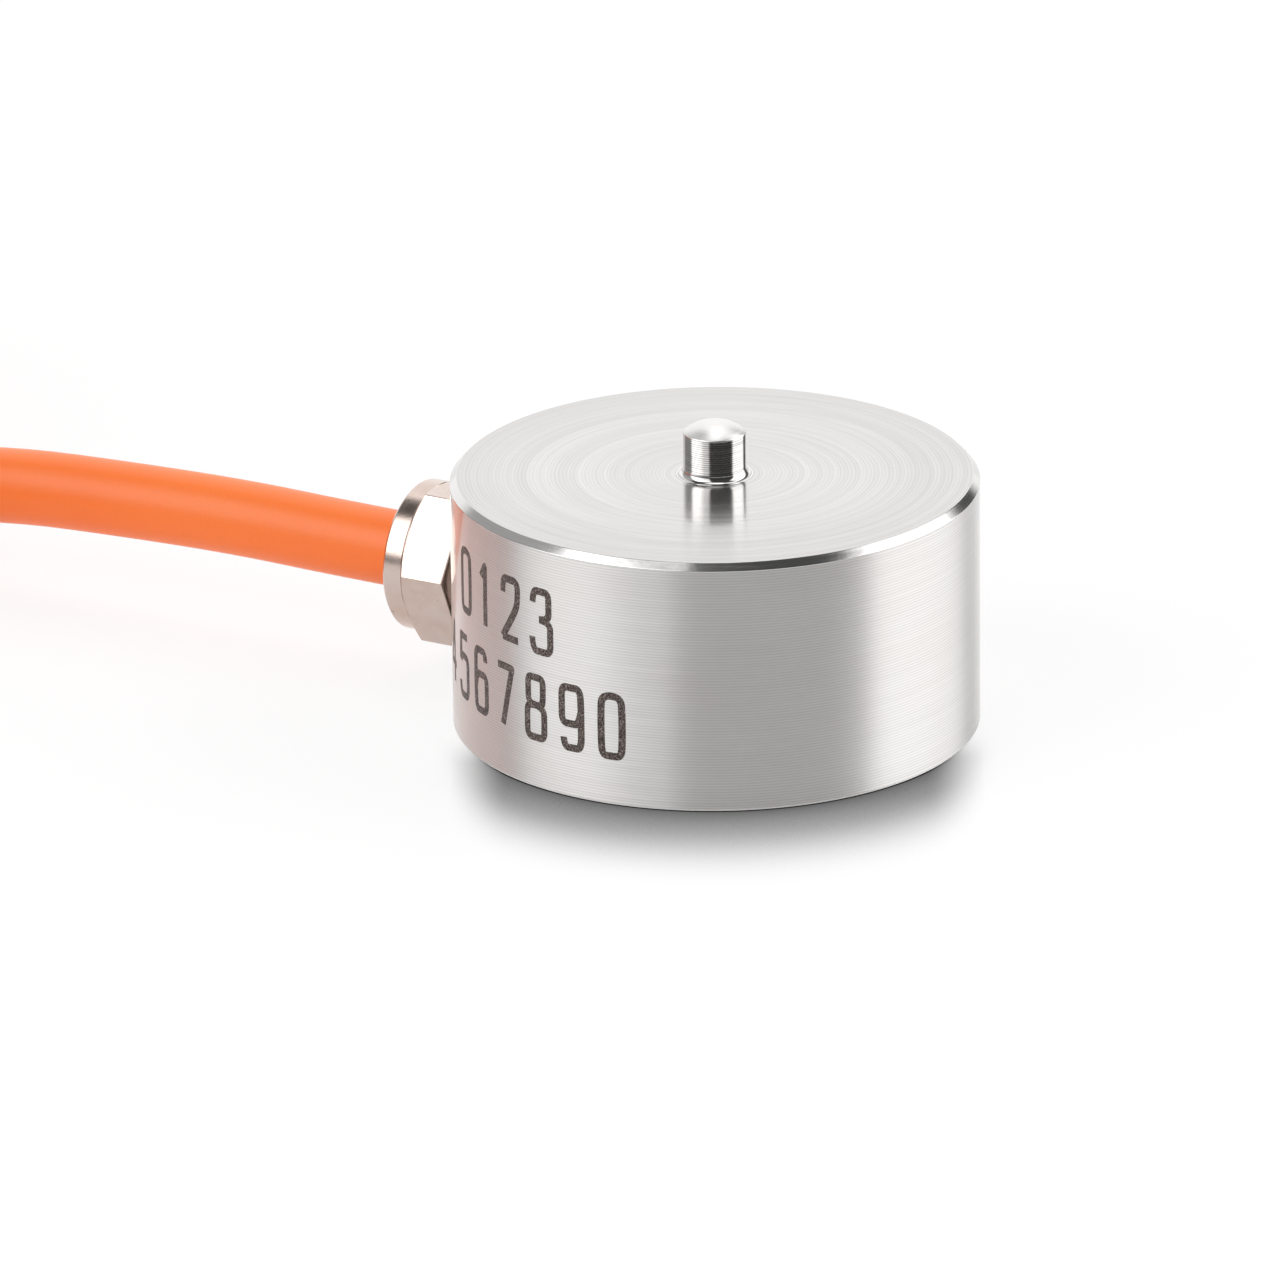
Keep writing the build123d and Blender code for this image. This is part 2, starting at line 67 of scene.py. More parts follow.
def colour_setting(name, description, default):
    """A colour that a user can change."""
    return bpy.props.FloatVectorProperty(
        name=name, description=description, default=default, min=0.0, max=1.0, size=3, subtype="COLOR"
    )


class LoadCellSizes(bpy.types.PropertyGroup):
    """Sizes of the load cell, as in its solids."""

    body_diameter: length_setting("Body diameter", "Outer diameter of the round body", 0.020)
    body_height: length_setting("Body height", "From the floor to the top face", 0.0098)
    top_chamfer: length_setting("Top chamfer", "Turned edge round the top face", 0.00026)
    button_diameter: length_setting("Button diameter", "Diameter of the load button's shank", 0.00238)
    button_shank: length_setting("Button shank", "Height of the shank over the top face", 0.00167)
    button_dome: length_setting("Button dome", "Height of the domed end", 0.00043)
    hex_across_flats: length_setting("Hexagon", "Across the flats of the cable fitting", 0.0058)
    outlet_height: length_setting("Outlet height", "Height of the cable's axis in the body", 0.00435)
    cable_diameter: length_setting("Cable diameter", "Outer diameter of the jacket", 0.00295)
    digit_height: length_setting("Digit height", "Height of the etched digits", 0.0027)
    digit_stroke: length_setting("Digit stroke", "Width of the etched line", 0.00031)


class LoadCellColours(bpy.types.PropertyGroup):
    """Colours of the load cell's finishes."""

    steel: colour_setting("Steel", "Turned stainless steel", (0.635, 0.627, 0.618))
    nickel: colour_setting("Nickel", "Plating of the cable fitting", (0.61, 0.51, 0.462))
    jacket: colour_setting("Jacket", "Orange jacket of the cable", (0.95, 0.195, 0.026))
    etching: colour_setting("Etching", "Dark etched digits", (0.040, 0.029, 0.026))
    strap: colour_setting("Strap", "Woven tie round the coil", (0.018, 0.018, 0.021))
    floor: colour_setting("Floor", "Pale surface under the load cell", (0.93, 0.93, 0.93))


def sizes():
    return getattr(bpy.context.scene, SIZES)


def colours():
    return getattr(bpy.context.scene, COLOURS)


# Modelling helpers


def deselect_everything():
    if bpy.context.object and bpy.context.object.mode != "OBJECT":
        bpy.ops.object.mode_set(mode="OBJECT")
    bpy.ops.object.select_all(action="DESELECT")


def pick(piece):
    """Select one piece alone and make it active."""
    deselect_everything()
    piece.select_set(True)
    bpy.context.view_layer.objects.active = piece


def first_vertex(name, place):
    """A new mesh of one vertex at a place, left in edit mode, for a line that is drawn on from it."""
    deselect_everything()
    bpy.ops.mesh.primitive_plane_add(size=MM)
    piece = bpy.context.object
    piece.name = name
    piece.data.name = name
    bpy.ops.object.mode_set(mode="EDIT")
    bpy.ops.mesh.select_all(action="SELECT")
    bpy.ops.mesh.merge(type="CENTER")
    bpy.ops.transform.translate(value=place)
    return piece


def draw_on(step):
    """Extrude what is selected by a step."""
    bpy.ops.mesh.extrude_region_move(TRANSFORM_OT_translate={"value": step})


def turned(name, section, steps, origin=(0, 0, 0), along=UP, out=(1, 0, 0)):
    """Turn a half section about an axis. It holds (radius, height) pairs in metres, from axis to axis."""
    origin, along, out = Vector(origin), Vector(along), Vector(out)
    corners = [origin + out * radius + along * height for radius, height in section]
    piece = first_vertex(name, corners[0])
    for before, after in zip(corners, corners[1:]):
        draw_on(after - before)
    bpy.ops.mesh.select_all(action="SELECT")
    bpy.ops.mesh.spin(steps=steps, angle=math.tau, center=origin, axis=along)
    bpy.ops.mesh.select_all(action="SELECT")
    bpy.ops.mesh.remove_doubles(threshold=1e-7)
    bpy.ops.mesh.normals_make_consistent(inside=False)
    bpy.ops.object.mode_set(mode="OBJECT")
    return piece


def rounded(corners, steps, support):
    """Round the corners of a section, each (radius, height, rounding) in millimetres.

    A support point stands by each end of an arc. The result is in metres.
    """
    points = []
    last = len(corners) - 1
    for index, (x, y, rounding) in enumerate(corners):
        here = Vector((x, y))
        if index in (0, last) or not rounding:
            points.append(here)
            continue
        to_before = (Vector(corners[index - 1][:2]) - here).normalized()
        to_after = (Vector(corners[index + 1][:2]) - here).normalized()
        half_angle = to_before.angle(to_after) / 2
        setback = rounding / math.tan(half_angle)
        middle = here + (to_before + to_after).normalized() * (rounding / math.sin(half_angle))
        first = here + to_before * setback
        start = first - middle
        turn = (here + to_after * setback - middle).angle_signed(start)
        points.append(first + to_before * support)
        for step in range(steps + 1):
            points.append(middle + Matrix.Rotation(turn * step / steps, 2) @ start)
        points.append(here + to_after * (setback + support))
    return [(max(point.x, 0.0) * MM, point.y * MM) for point in points]


def apply_modifier(piece, kind, **settings):
    pick(piece)
    modifier = piece.modifiers.new(kind.lower(), kind)
    for setting, value in settings.items():
        setattr(modifier, setting, value)
    bpy.ops.object.modifier_apply(modifier=modifier.name)


def soften_edges(piece, width, segments, angle):
    """Bevel the edges that are sharper than an angle in degrees. The width is in millimetres."""
    limit = dict(limit_method="ANGLE", angle_limit=math.radians(angle))
    apply_modifier(piece, "BEVEL", width=width * MM, segments=segments, **limit)


def combine(piece, other, operation):
    """Cut, join or intersect a piece with another one, which is used up."""
    apply_modifier(piece, "BOOLEAN", object=other, operation=operation, solver="EXACT")
    bpy.data.objects.remove(other)


def smooth(piece, angle=30):
    pick(piece)
    bpy.ops.object.shade_smooth_by_angle(angle=math.radians(angle))


def paint(piece, *materials):
    piece.data.materials.clear()
    for material in materials:
        piece.data.materials.append(material)


def put_together(name, pieces):
    """Join pieces into one mesh."""
    pick(pieces[0])
    for piece in pieces:
        piece.select_set(True)
    bpy.ops.object.join()
    joined = bpy.context.object
    joined.name = name
    joined.data.name = name
    return joined


def place_in_mesh(piece):
    """Move a piece's place, turn and scale into its mesh."""
    pick(piece)
    bpy.ops.object.transform_apply(location=True, rotation=True, scale=True)


def as_mesh(piece):
    pick(piece)
    bpy.ops.object.convert(target="MESH")
    return bpy.context.object


def stand_for(piece, *nodes, slot):
    """Ride on the body and stand for its nodes, which are hidden. The slot is not used."""
    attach(piece, "root")
    if nodes:
        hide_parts(*nodes)


def smooth_line(name, points, diameter, resolution, bevel_resolution=6):
    """A round cord through a route: an open spline of order 3 that ends at its first and last points."""
    data = bpy.data.curves.new(name, "CURVE")
    data.dimensions = "3D"
    data.resolution_u = resolution
    data.bevel_depth = diameter / 2
    data.bevel_resolution = bevel_resolution
    data.use_fill_caps = True
    spline = data.splines.new("NURBS")
    spline.points.add(len(points) - 1)
    for point, place in zip(spline.points, points):
        point.co = (*place, 1.0)
    spline.order_u = 3
    spline.use_endpoint_u = True
    spline.resolution_u = resolution
    piece = bpy.data.objects.new(name, data)
    bpy.context.scene.collection.objects.link(piece)
    return piece


# Finishes. Turned grooves change slowly along X, so that no line is quite the same all round.

GROOVE_SHARE = 0.02


def rgba(colour):
    return (*colour, 1.0)


class Nodes:
    """A node tree, to which nodes are added one by one. A value is a number, a colour or a node's socket."""

    def __init__(self, tree):
        self.tree = tree

    def set(self, node, values):
        for socket, value in values.items():
            if isinstance(value, bpy.types.NodeSocket):
                self.tree.links.new(value, node.inputs[socket])
            else:
                node.inputs[socket].default_value = value

    def node(self, kind, values=None, **settings):
        node = self.tree.nodes.new(kind)
        for setting, value in settings.items():
            setattr(node, setting, value)
        self.set(node, values or {})
        return node

    def math(self, operation, first, second=0.0, *third):
        values = dict(enumerate((first, second, *third)))
        return self.node("ShaderNodeMath", values, operation=operation).outputs[0]

    def times(self, first, second):
        return self.math("MULTIPLY", first, second)

    def parts(self, vector):
        """X, Y and Z of a vector."""
        return self.node("ShaderNodeSeparateXYZ", {"Vector": vector}).outputs[:3]

    def vector(self, x, y, z):
        return self.node("ShaderNodeCombineXYZ", {"X": x, "Y": y, "Z": z}).outputs[0]

    def scaled(self, value, factor, more):
        """A value times a factor, plus more."""
        return self.math("ADD", self.times(value, factor), more)

    def soft_step(self, value, nothing, one):
        """A gentle step from 0 at one limit to 1 at the other."""
        limits = {"Value": value, "From Min": nothing, "From Max": one}
        return self.node("ShaderNodeMapRange", limits, interpolation_type="SMOOTHSTEP").outputs[0]


class Finish(Nodes):
    """A material with a principled shader, and patterns that follow the piece."""

    def __init__(self, name, colour, metallic=0.0, roughness=0.5, **sockets):
        self.material = bpy.data.materials.new(name)
        self.material.use_nodes = True
        super().__init__(self.material.node_tree)
        self.shader = self.tree.nodes["Principled BSDF"]
        self.colour = rgba(colour)
        self.set(self.shader, {"Base Color": self.colour, "Metallic": metallic, "Roughness": roughness})
        self.set(self.shader, sockets)
        self.place = self.node("ShaderNodeTexCoord").outputs["Object"]

    def about_axis(self):
        """X and Z of the place, and its distance from the load axis."""
        x, y, z = self.parts(self.place)
        flat = self.vector(x, y, 0.0)
        return x, z, self.node("ShaderNodeVectorMath", {0: flat}, operation="LENGTH").outputs["Value"]

    def mapped(self, scale=(1, 1, 1), location=(0, 0, 0), turn=(0, 0, 0)):
        values = {"Vector": self.place, "Scale": scale, "Location": location, "Rotation": turn}
        return self.node("ShaderNodeMapping", values).outputs[0]

    def noise(self, scale, detail=3.0, roughness=0.55, on=None):
        values = {"Vector": on or self.place, "Scale": scale, "Detail": detail, "Roughness": roughness}
        return self.node("ShaderNodeTexNoise", values).outputs["Fac"]

    def wave(self, vector, direction, scale, distortion, **more):
        values = {"Vector": vector, "Scale": scale, "Distortion": distortion, **more}
        return self.node("ShaderNodeTexWave", values, bands_direction=direction).outputs["Fac"]

    def weave(self, vector, scale, distortion):
        """Bands along X times bands along Y."""
        return self.times(*[self.wave(vector, way, scale, distortion) for way in "XY"])

    def ramp(self, factor, *stops):
        """A grey or coloured ramp: each stop is (position, colour or grey)."""
        node = self.node("ShaderNodeValToRGB", {"Fac": factor})
        elements = node.color_ramp.elements
        while len(elements) > 1:
            elements.remove(elements[-1])
        for index, (position, colour) in enumerate(stops):
            if isinstance(colour, (int, float)):
                colour = (colour, colour, colour)
            element = elements[0] if index == 0 else elements.new(position)
            element.position = position
            element.color = rgba(colour)
        return node.outputs["Color"]

    def tint(self, colour, pattern, amount=1.0):
        """Multiply a colour by a pattern."""
        node = self.node("ShaderNodeMix", None, data_type="RGBA", blend_type="MULTIPLY")
        self.set(node, {"Factor": amount, 6: colour, 7: pattern})
        return node.outputs[2]

    def coloured(self, *patterns, colour=None, amount=1.0):
        """Multiply the finish's own colour, or another one, by each pattern in turn."""
        colour = self.colour if colour is None else colour
        for pattern in patterns:
            colour = self.tint(colour, pattern, amount)
        self.set(self.shader, {"Base Color": colour})

    def rough(self, pattern, share, least):
        """Let the roughness rise with a pattern."""
        self.set(self.shader, {"Roughness": self.scaled(pattern, share, least)})

    def bump(self, height, distance):
        """Raise the surface by a pattern, on top of an earlier one."""
        values = {"Height": height, "Distance": distance, "Strength": 1.0}
        if self.shader.inputs["Normal"].is_linked:
            values["Normal"] = self.shader.inputs["Normal"].links[0].from_socket
        self.set(self.shader, {"Normal": self.node("ShaderNodeBump", values).outputs["Normal"]})


def turned_steel(
    name, colour, pitch, contrast, roughness=0.36, stretch=1.0, depth=1.1e-6, even=0.35, broad=0.03, rim=None
):
    """Fine-turned stainless steel: grooves round the load axis, which stretch what it mirrors across them."""
    finish = Finish(name, colour, metallic=1.0, **{"Anisotropic": stretch, "Anisotropic Rotation": 0.25})
    finish.set(finish.shader, {"Coat Weight": 0.7, "Coat Roughness": 0.07, "Coat IOR": 1.6})
    tangent = finish.node("ShaderNodeTangent", direction_type="RADIAL", axis="Z")
    finish.set(finish.shader, {"Tangent": tangent.outputs[0]})
    x, z, radius = finish.about_axis()
    grooves = finish.vector(finish.times(x, GROOVE_SHARE), 0.0, finish.math("ADD", radius, z))
    cuts = finish.wave(grooves, "Z", math.tau / (20 * pitch), 1.5, **{"Detail": 1.0, "Detail Scale": 0.4})
    streaks = finish.noise(1 / (1.6 * pitch), detail=4.0, roughness=0.7, on=grooves)
    slow = finish.noise(1 / (12 * pitch), on=grooves)
    patches = finish.noise(260.0, detail=5.0)
    lines = finish.scaled(cuts, even, finish.times(streaks, 1 - even))
    patterns = [
        finish.ramp(lines, (0.25, 1.0 - contrast), (0.75, 1.0)),
        finish.ramp(slow, (0.35, 1.0 - broad), (0.65, 1.0)),
        finish.ramp(patches, (0.35, (0.985, 0.965, 0.955)), (0.65, 1.0)),
    ]
    if rim is not None:
        limits = {"From Min": 0.97 * rim, "From Max": 1.12 * rim, "To Min": 1.0, "To Max": 0.93}
        patterns.append(finish.node("ShaderNodeMapRange", {"Value": radius, **limits}).outputs[0])
    finish.coloured(*patterns)
    finish.rough(streaks, 0.3 * roughness, 0.85 * roughness)
    finish.bump(lines, depth)
    return finish.material


def bright_cut(name, colour, roughness=0.08, depth=0.7e-6, pitch=0.07 * MM, contrast=0.14):
    """Cleanly cut edge or button of the same steel, with the last fine lines of the tool."""
    finish = Finish(name, colour, metallic=1.0)
    x, z, radius = finish.about_axis()
    grooves = finish.vector(finish.times(x, GROOVE_SHARE), radius, z)
    uneven = finish.noise(1 / pitch, roughness=0.6, on=grooves)
    turns = finish.times(finish.math("ADD", radius, z), math.tau / pitch)
    lines = finish.scaled(finish.math("SINE", turns), 0.2, uneven)
    finish.coloured(finish.ramp(lines, (0.35, 1.0 - contrast), (0.6, 1.0)))
    finish.rough(lines, 0.1, roughness)
    finish.bump(lines, depth)
    finish.bump(finish.noise(420.0), 1.0e-5)
    finish.bump(finish.noise(2600.0, detail=4.0), 2.0e-6)
    return finish.material


def nickel_plating(name, colour):
    """Satin nickel over milled brass, with faint warm stains and small pits."""
    finish = Finish(name, colour, metallic=1.0, roughness=0.2)
    stains = finish.noise(900.0, detail=6.0)
    fine = finish.noise(6000.0, detail=4.0, on=finish.mapped(scale=(1, 3, 3)))
    pits = finish.noise(3800.0, detail=2.0)
    stain = finish.ramp(stains, (0.30, (0.93, 0.875, 0.84)), (0.62, 1.0))
    finish.coloured(stain, finish.ramp(pits, (0.22, 0.55), (0.30, 1.0)))
    finish.rough(stains, 0.22, 0.10)
    finish.bump(fine, 1.5e-6)
    finish.bump(stains, 6e-6)
    return finish.material


def cable_jacket(name, colour):
    """Smooth soft jacket with a faint grain and slow changes of shade."""
    finish = Finish(name, colour, roughness=0.42)
    slow = finish.noise(120.0)
    grain = finish.noise(9000.0, detail=4.0)
    shade = finish.ramp(slow, (0.3, (0.985, 0.93, 0.90)), (0.7, 1.0))
    finish.coloured(shade, finish.ramp(grain, (0.25, (0.97, 0.94, 0.93)), (0.6, 1.0)))
    finish.rough(grain, 0.12, 0.36)
    finish.bump(grain, 4e-6)
    return finish.material


def etched_mark(name, colour):
    """Rough dark bottom of an etched line, with bright specks of bare metal."""
    finish = Finish(name, colour, metallic=0.55, roughness=0.5)
    pits = finish.noise(16000.0, roughness=0.7)
    cloud = finish.noise(3000.0, detail=2.0)
    specks = finish.ramp(pits, (0.42, colour), (0.60, (0.20, 0.16, 0.145)), (0.74, (0.62, 0.56, 0.53)))
    finish.coloured(finish.ramp(cloud, (0.3, 0.62), (0.65, 1.0)), colour=specks)
    finish.bump(pits, 9e-6)
    return finish.material


def moulded(name, colour, roughness=0.4, grain=4e-6, scale=5000.0):
    """Plain extruded or moulded plastic with a faint grain."""
    finish = Finish(name, colour, roughness=roughness)
    fine = finish.noise(scale, detail=4.0)
    slow = finish.noise(scale / 20)
    finish.coloured(finish.ramp(slow, (0.3, 0.88), (0.7, 1.0)))
    finish.rough(fine, 0.15, roughness - 0.07)
    finish.bump(fine, grain)
    return finish.material


def soft_metal(name, colour, roughness=0.3, scale=3500.0, depth=8e-6):
    """Solder, brass, foil or copper: an uneven bright metal."""
    finish = Finish(name, colour, metallic=1.0, roughness=roughness)
    uneven = finish.noise(scale, detail=5.0)
    dull = finish.noise(scale / 6)
    finish.coloured(finish.ramp(dull, (0.3, 0.78), (0.68, 1.0)))
    finish.rough(dull, 0.2, roughness - 0.1)
    finish.bump(uneven, depth)
    return finish.material


def circuit_board(name, colour):
    """Green board with its glass weave under the varnish."""
    finish = Finish(name, colour, roughness=0.3, **{"Coat Weight": 0.4, "Coat Roughness": 0.15})
    glass = finish.weave(finish.place, 900.0, 0.6)
    finish.coloured(finish.ramp(glass, (0.0, 0.8), (1.0, 1.0)))
    finish.bump(glass, 6e-6)
    return finish.material


def wire_braid(name, colour, axis_height):
    """Tinned wires crossing round the jacket."""
    finish = Finish(name, colour, metallic=1.0, roughness=0.28)
    x, y, z = finish.parts(finish.mapped(location=(0, 0, -axis_height)))
    round_it = finish.times(finish.math("ARCTAN2", z, y), 8.0)
    run = finish.times(x, 6000.0)
    ways = [finish.math("SINE", finish.math(sign, run, round_it)) for sign in ("ADD", "SUBTRACT")]
    crossing = finish.math("MAXIMUM", *ways)
    finish.coloured(finish.ramp(crossing, (0.0, 0.3), (0.8, 1.0)))
    finish.bump(crossing, 3e-5)
    return finish.material


def woven_strap(name, colour):
    """Black hook-and-loop webbing: ribs across it and a soft pile, on the strap's own map."""
    finish = Finish(name, colour, roughness=0.85, **{"Sheen Weight": 0.4, "Sheen Roughness": 0.5})
    own = finish.node("ShaderNodeTexCoord").outputs["UV"]
    pile = finish.noise(7000.0, detail=5.0, roughness=0.7)
    cloth = finish.scaled(finish.weave(own, 800.0, 1.2), 0.6, pile)
    finish.coloured(finish.ramp(cloth, (0.4, 0.45), (1.0, 1.0)), amount=0.9)
    finish.bump(cloth, 6e-5)
    return finish.material


def pale_floor(name, colour):
    """White paper: partly its own white where seen or mirrored, with a painted shadow at the body's foot in
    front.
    """
    finish = Finish(name, colour, roughness=0.9, **{"Specular IOR Level": 0.0})
    # Painted shadow: ambient occlusion darkens the floor's colour at the body's foot, for camera rays only
    near = finish.node("ShaderNodeAmbientOcclusion", {"Distance": PAINTED_SHADOW_REACH * MM}, samples=12).outputs["AO"]
    x, y, _ = finish.parts(finish.mapped(turn=(0, 0, -VIEW_HEADING)))
    half_chord = finish.math("SUBTRACT", (sizes().body_diameter / 2) ** 2, finish.times(x, x))
    half_chord = finish.math("SQRT", finish.math("MAXIMUM", half_chord, 0.0))
    ahead = finish.math("SUBTRACT", finish.times(y, -1.0), half_chord)
    path = finish.node("ShaderNodeLightPath").outputs
    painted_shadow_mask = path["Is Camera Ray"]
    aside = finish.math("ABSOLUTE", x)
    # Where the painted shadow ends and is full: towards the camera, ahead of the body's edge, and to the
    # sides
    for value, nothing, full in ((y, -1.5, -5.0), (ahead, 9.5, 2.0), (aside, 10.7, 7.8)):
        painted_shadow_mask = finish.times(painted_shadow_mask, finish.soft_step(value, nothing * MM, full * MM))
    # The painted shadow multiplies both the floor's colour and its own white
    shade = finish.tint((1.0, 1.0, 1.0, 1.0), finish.math("POWER", near, 3.0), painted_shadow_mask)
    finish.coloured(shade)
    white = finish.node("ShaderNodeEmission", {"Color": shade, "Strength": 1.0}).outputs[0]
    mirrored = finish.math("MAXIMUM", path["Is Glossy Ray"], path["Is Transmission Ray"])
    mirrored = finish.times(mirrored, FLOOR_MIRRORED_WHITE)
    share = finish.math("MAXIMUM", finish.times(path["Is Camera Ray"], FLOOR_OWN_WHITE), mirrored)
    mixed = finish.node("ShaderNodeMixShader", {0: share, 1: finish.shader.outputs[0], 2: white})
    finish.set(finish.tree.nodes["Material Output"], {"Surface": mixed.outputs[0]})
    return finish.material


# Camera, from the photograph's perspective

VIEW_HEADING = math.radians(29.5)
VIEW_HEIGHT = 0.3558
VIEW_DISTANCE = 0.5
VIEW_ROLL = -0.0086
VIEW_TARGET = Vector((0, 0, 0.005))
TARGET_PIXEL = (715.75, 592.56)
IMAGE_SIZE = 1280
FOCAL_PIXELS = 13225.07
SENSOR = 36.0


class LOADCELL_OT_camera(bpy.types.Operator):
    """Set the camera up as the photograph was taken"""

    bl_idname = "load_cell.camera"
    bl_label = "Camera"

    def execute(self, context):
        back = Vector(
            (
                math.sin(VIEW_HEADING) * math.cos(VIEW_HEIGHT),
                -math.cos(VIEW_HEADING) * math.cos(VIEW_HEIGHT),
                math.sin(VIEW_HEIGHT),
            )
        )
        level = Vector((math.cos(VIEW_HEADING), math.sin(VIEW_HEADING), 0))
        upright = back.cross(level)
        right = level * math.cos(VIEW_ROLL) + upright * math.sin(VIEW_ROLL)
        up = upright * math.cos(VIEW_ROLL) - level * math.sin(VIEW_ROLL)
        aimed = Matrix((right, up, back)).transposed().to_quaternion()
        seen_at = Vector((TARGET_PIXEL[0] - IMAGE_SIZE / 2, IMAGE_SIZE / 2 - TARGET_PIXEL[1], -FOCAL_PIXELS))
        tilt = seen_at.rotation_difference(Vector((0, 0, -1)))
        data = bpy.data.cameras.new("camera")
        data.lens = FOCAL_PIXELS / IMAGE_SIZE * SENSOR
        data.sensor_width = SENSOR
        data.clip_start = 0.01
        data.clip_end = 20.0
        camera = bpy.data.objects.new("camera", data)
        camera.location = VIEW_TARGET + back * VIEW_DISTANCE
        camera.rotation_mode = "QUATERNION"
        camera.rotation_quaternion = aimed @ tilt
        context.scene.collection.objects.link(camera)
        context.scene.camera = camera
        return {"FINISHED"}


# Cable: the route of the solids, then the turns of the coil and the tail on top of it

EXIT_X = -13.0
CABLE_REACH = 31.2
CABLE_COURSE = [
    (0.0, 0.0, 1.0),
    (0.113, 0.0, 1.0),
    (0.253, 0.0, 1.03),
    (0.412, 0.0, 0.98),
    (0.592, 0.0, 0.885),
    (0.737, 0.0, 0.6),
    (0.873, 0.016, 0.2),
    (1.0, 0.046, 0.0),
]
CABLE_LAST_RUN = 0.115
SIDE_TURN = math.radians(20.0)
LEAD_IN = 11.779
TURN_PITCH = 3.0
TURN_RADII = (21.75, 18.75, 15.75, 12.75)
ENTRY_HEADING = Vector((-math.cos(SIDE_TURN), math.sin(SIDE_TURN), 0))
COIL_ENTRY = (
    Vector((EXIT_X - CABLE_REACH * CABLE_COURSE[-1][0], CABLE_REACH * CABLE_COURSE[-1][1], 0))
    + ENTRY_HEADING * (CABLE_LAST_RUN * CABLE_REACH + LEAD_IN)
)
COIL_CENTRE = COIL_ENTRY - Vector((math.sin(SIDE_TURN), math.cos(SIDE_TURN), 0)) * TURN_RADII[0]
TURN_LAYERS = 4
POINTS_PER_TURN = 24
SHIFT_FROM = 300.0
SHIFT_BULGE = 1.25
COIL_START = 70.0
COIL_TOP = 12.0
TIE_ANGLE = 225.0
TIE_LIFT = 0.5
TIE_SPREAD = 16.0
TIE_SINK = 0.6
TAIL_RADIUS = 17.25
TAIL_HEIGHT = 13.725
TAIL_START = 130.0
TAIL_END = 300.0
TAIL_RUN = 4.2
CORE_SPREAD = 0.42
CORE_DIAMETER = 0.75
DRAIN_DIAMETER = 0.4
SLEEVE_REACH = 3.5
SLEEVE_OVERLAP = 4.0
SLEEVE_WALL = 0.16
CORE_HIDDEN_RUN = 3.2
CORE_EXIT_RUN = 2.9
TIP_LENGTH = 4.0
TIP_DIAMETER = 0.45
OUTER_STRANDS = 6
STRAND_STEPS = 24
STRAND_SWELL = 1.08


def ease(share):
    """A share from 0 to 1 that starts and ends gently."""
    share = min(max(share, 0.0), 1.0)
    return share * share * (3 - 2 * share)


def from_coil(degrees):
    """The direction from the middle of the coil at an angle."""
    turn = math.radians(degrees)
    return Vector((math.cos(turn), math.sin(turn), 0))


def about_coil(radius, degrees, height):
    """A point about the middle of the coil, in metres."""
    place = COIL_CENTRE + from_coil(degrees) * radius
    return Vector((place.x, place.y, height)) * MM


def on_turn(radius, degrees, height):
    """A point of a turn, with the radius that keeps the spline on its circle."""
    spread = 1 / (0.75 + 0.25 * math.cos(math.radians(360 / POINTS_PER_TURN)))
    return about_coil(radius * spread, degrees, height)


def tie_lift(degrees, height):
    """How far the strap under the turns lifts them near the tie. The upper ones sink together."""
    apart = (degrees - TIE_ANGLE + 180) % 360 - 180
    return TIE_LIFT * math.exp(-((apart / TIE_SPREAD) ** 2)) * (1 - TIE_SINK * height / COIL_TOP)


def coil_points(lying_height):
    """The turns from the floor up, by layers that go inward and outward in turn."""
    slots = []
    for layer in range(TURN_LAYERS):
        columns = TURN_RADII if layer % 2 == 0 else TURN_RADII[::-1]
        slots += [(radius, lying_height + layer * TURN_PITCH) for radius in columns]
    slots.append((TURN_RADII[0], slots[-1][1] + TURN_PITCH))
    points = []
    step = 360 / POINTS_PER_TURN
    for (radius, height), (next_radius, next_height) in zip(slots, slots[1:]):
        for index in range(POINTS_PER_TURN):
            share = ease((index * step - SHIFT_FROM) / (360 - SHIFT_FROM))
            here = radius + (next_radius - radius) * share
            if next_height != height:
                side = 1 if radius == TURN_RADII[0] else -1
                here += side * SHIFT_BULGE * math.sin(math.pi * share)
            level = height + (next_height - height) * share
            degrees = COIL_START + index * step
            points.append(on_turn(here, degrees, level + tie_lift(degrees, level)))
    return points


def tail_points(start_height):
    """From the last turn in over the top of the coil, round it, and straight for the last stretch."""
    points = []
    step = 360 / POINTS_PER_TURN
    degrees = COIL_START
    while degrees < TAIL_END - step / 2:
        share = ease((degrees - COIL_START) / (TAIL_START - COIL_START))
        radius = TURN_RADII[0] + (TAIL_RADIUS - TURN_RADII[0]) * share
        height = start_height + (TAIL_HEIGHT - start_height) * share
        points.append(on_turn(radius, degrees, height + tie_lift(degrees, COIL_TOP)))
        degrees += step
    return points + [about_coil(TAIL_RADIUS, TAIL_END, TAIL_HEIGHT), tail_tip()]


def tail_heading():
    return UP.cross(from_coil(TAIL_END))


def tail_tip():
    return about_coil(TAIL_RADIUS, TAIL_END, TAIL_HEIGHT) + tail_heading() * TAIL_RUN * MM


class LOADCELL_OT_cable(bpy.types.Operator):
    """Lay the cable: out of the fitting, down to the floor, wound into its coil, and the tail on top"""

    bl_idname = "load_cell.cable"
    bl_label = "Cable"

    def execute(self, context):
        diameter = sizes().cable_diameter
        lying = diameter / 2
        drop = sizes().outlet_height - lying
        route = []
        for along, aside, height in CABLE_COURSE:
            place = Vector((EXIT_X - along * CABLE_REACH, aside * CABLE_REACH, 0)) * MM
            route.append(place + UP * (lying + height * drop))
        route.append(route[-1] + ENTRY_HEADING * CABLE_LAST_RUN * CABLE_REACH * MM)
        top_layer = lying / MM + TURN_LAYERS * TURN_PITCH
        points = route + coil_points(lying / MM) + tail_points(top_layer)
        cable = smooth_line("cable_line", points, diameter, resolution=5, bevel_resolution=10)
        jacket = cable_jacket("orange jacket", colours().jacket)
        paint(cable, jacket)
        paint(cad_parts["cable_inner_end"], jacket)
        stand_for(cable, "cable", "cable_coil", "cable_tail", slot="cable_jacket")
        return {"FINISHED"}


# Each wire's side and level in the bundle, then its bends: outside the middle of the turns, angle past the
# end of the tail's arc, and height above the coil, as in the solids

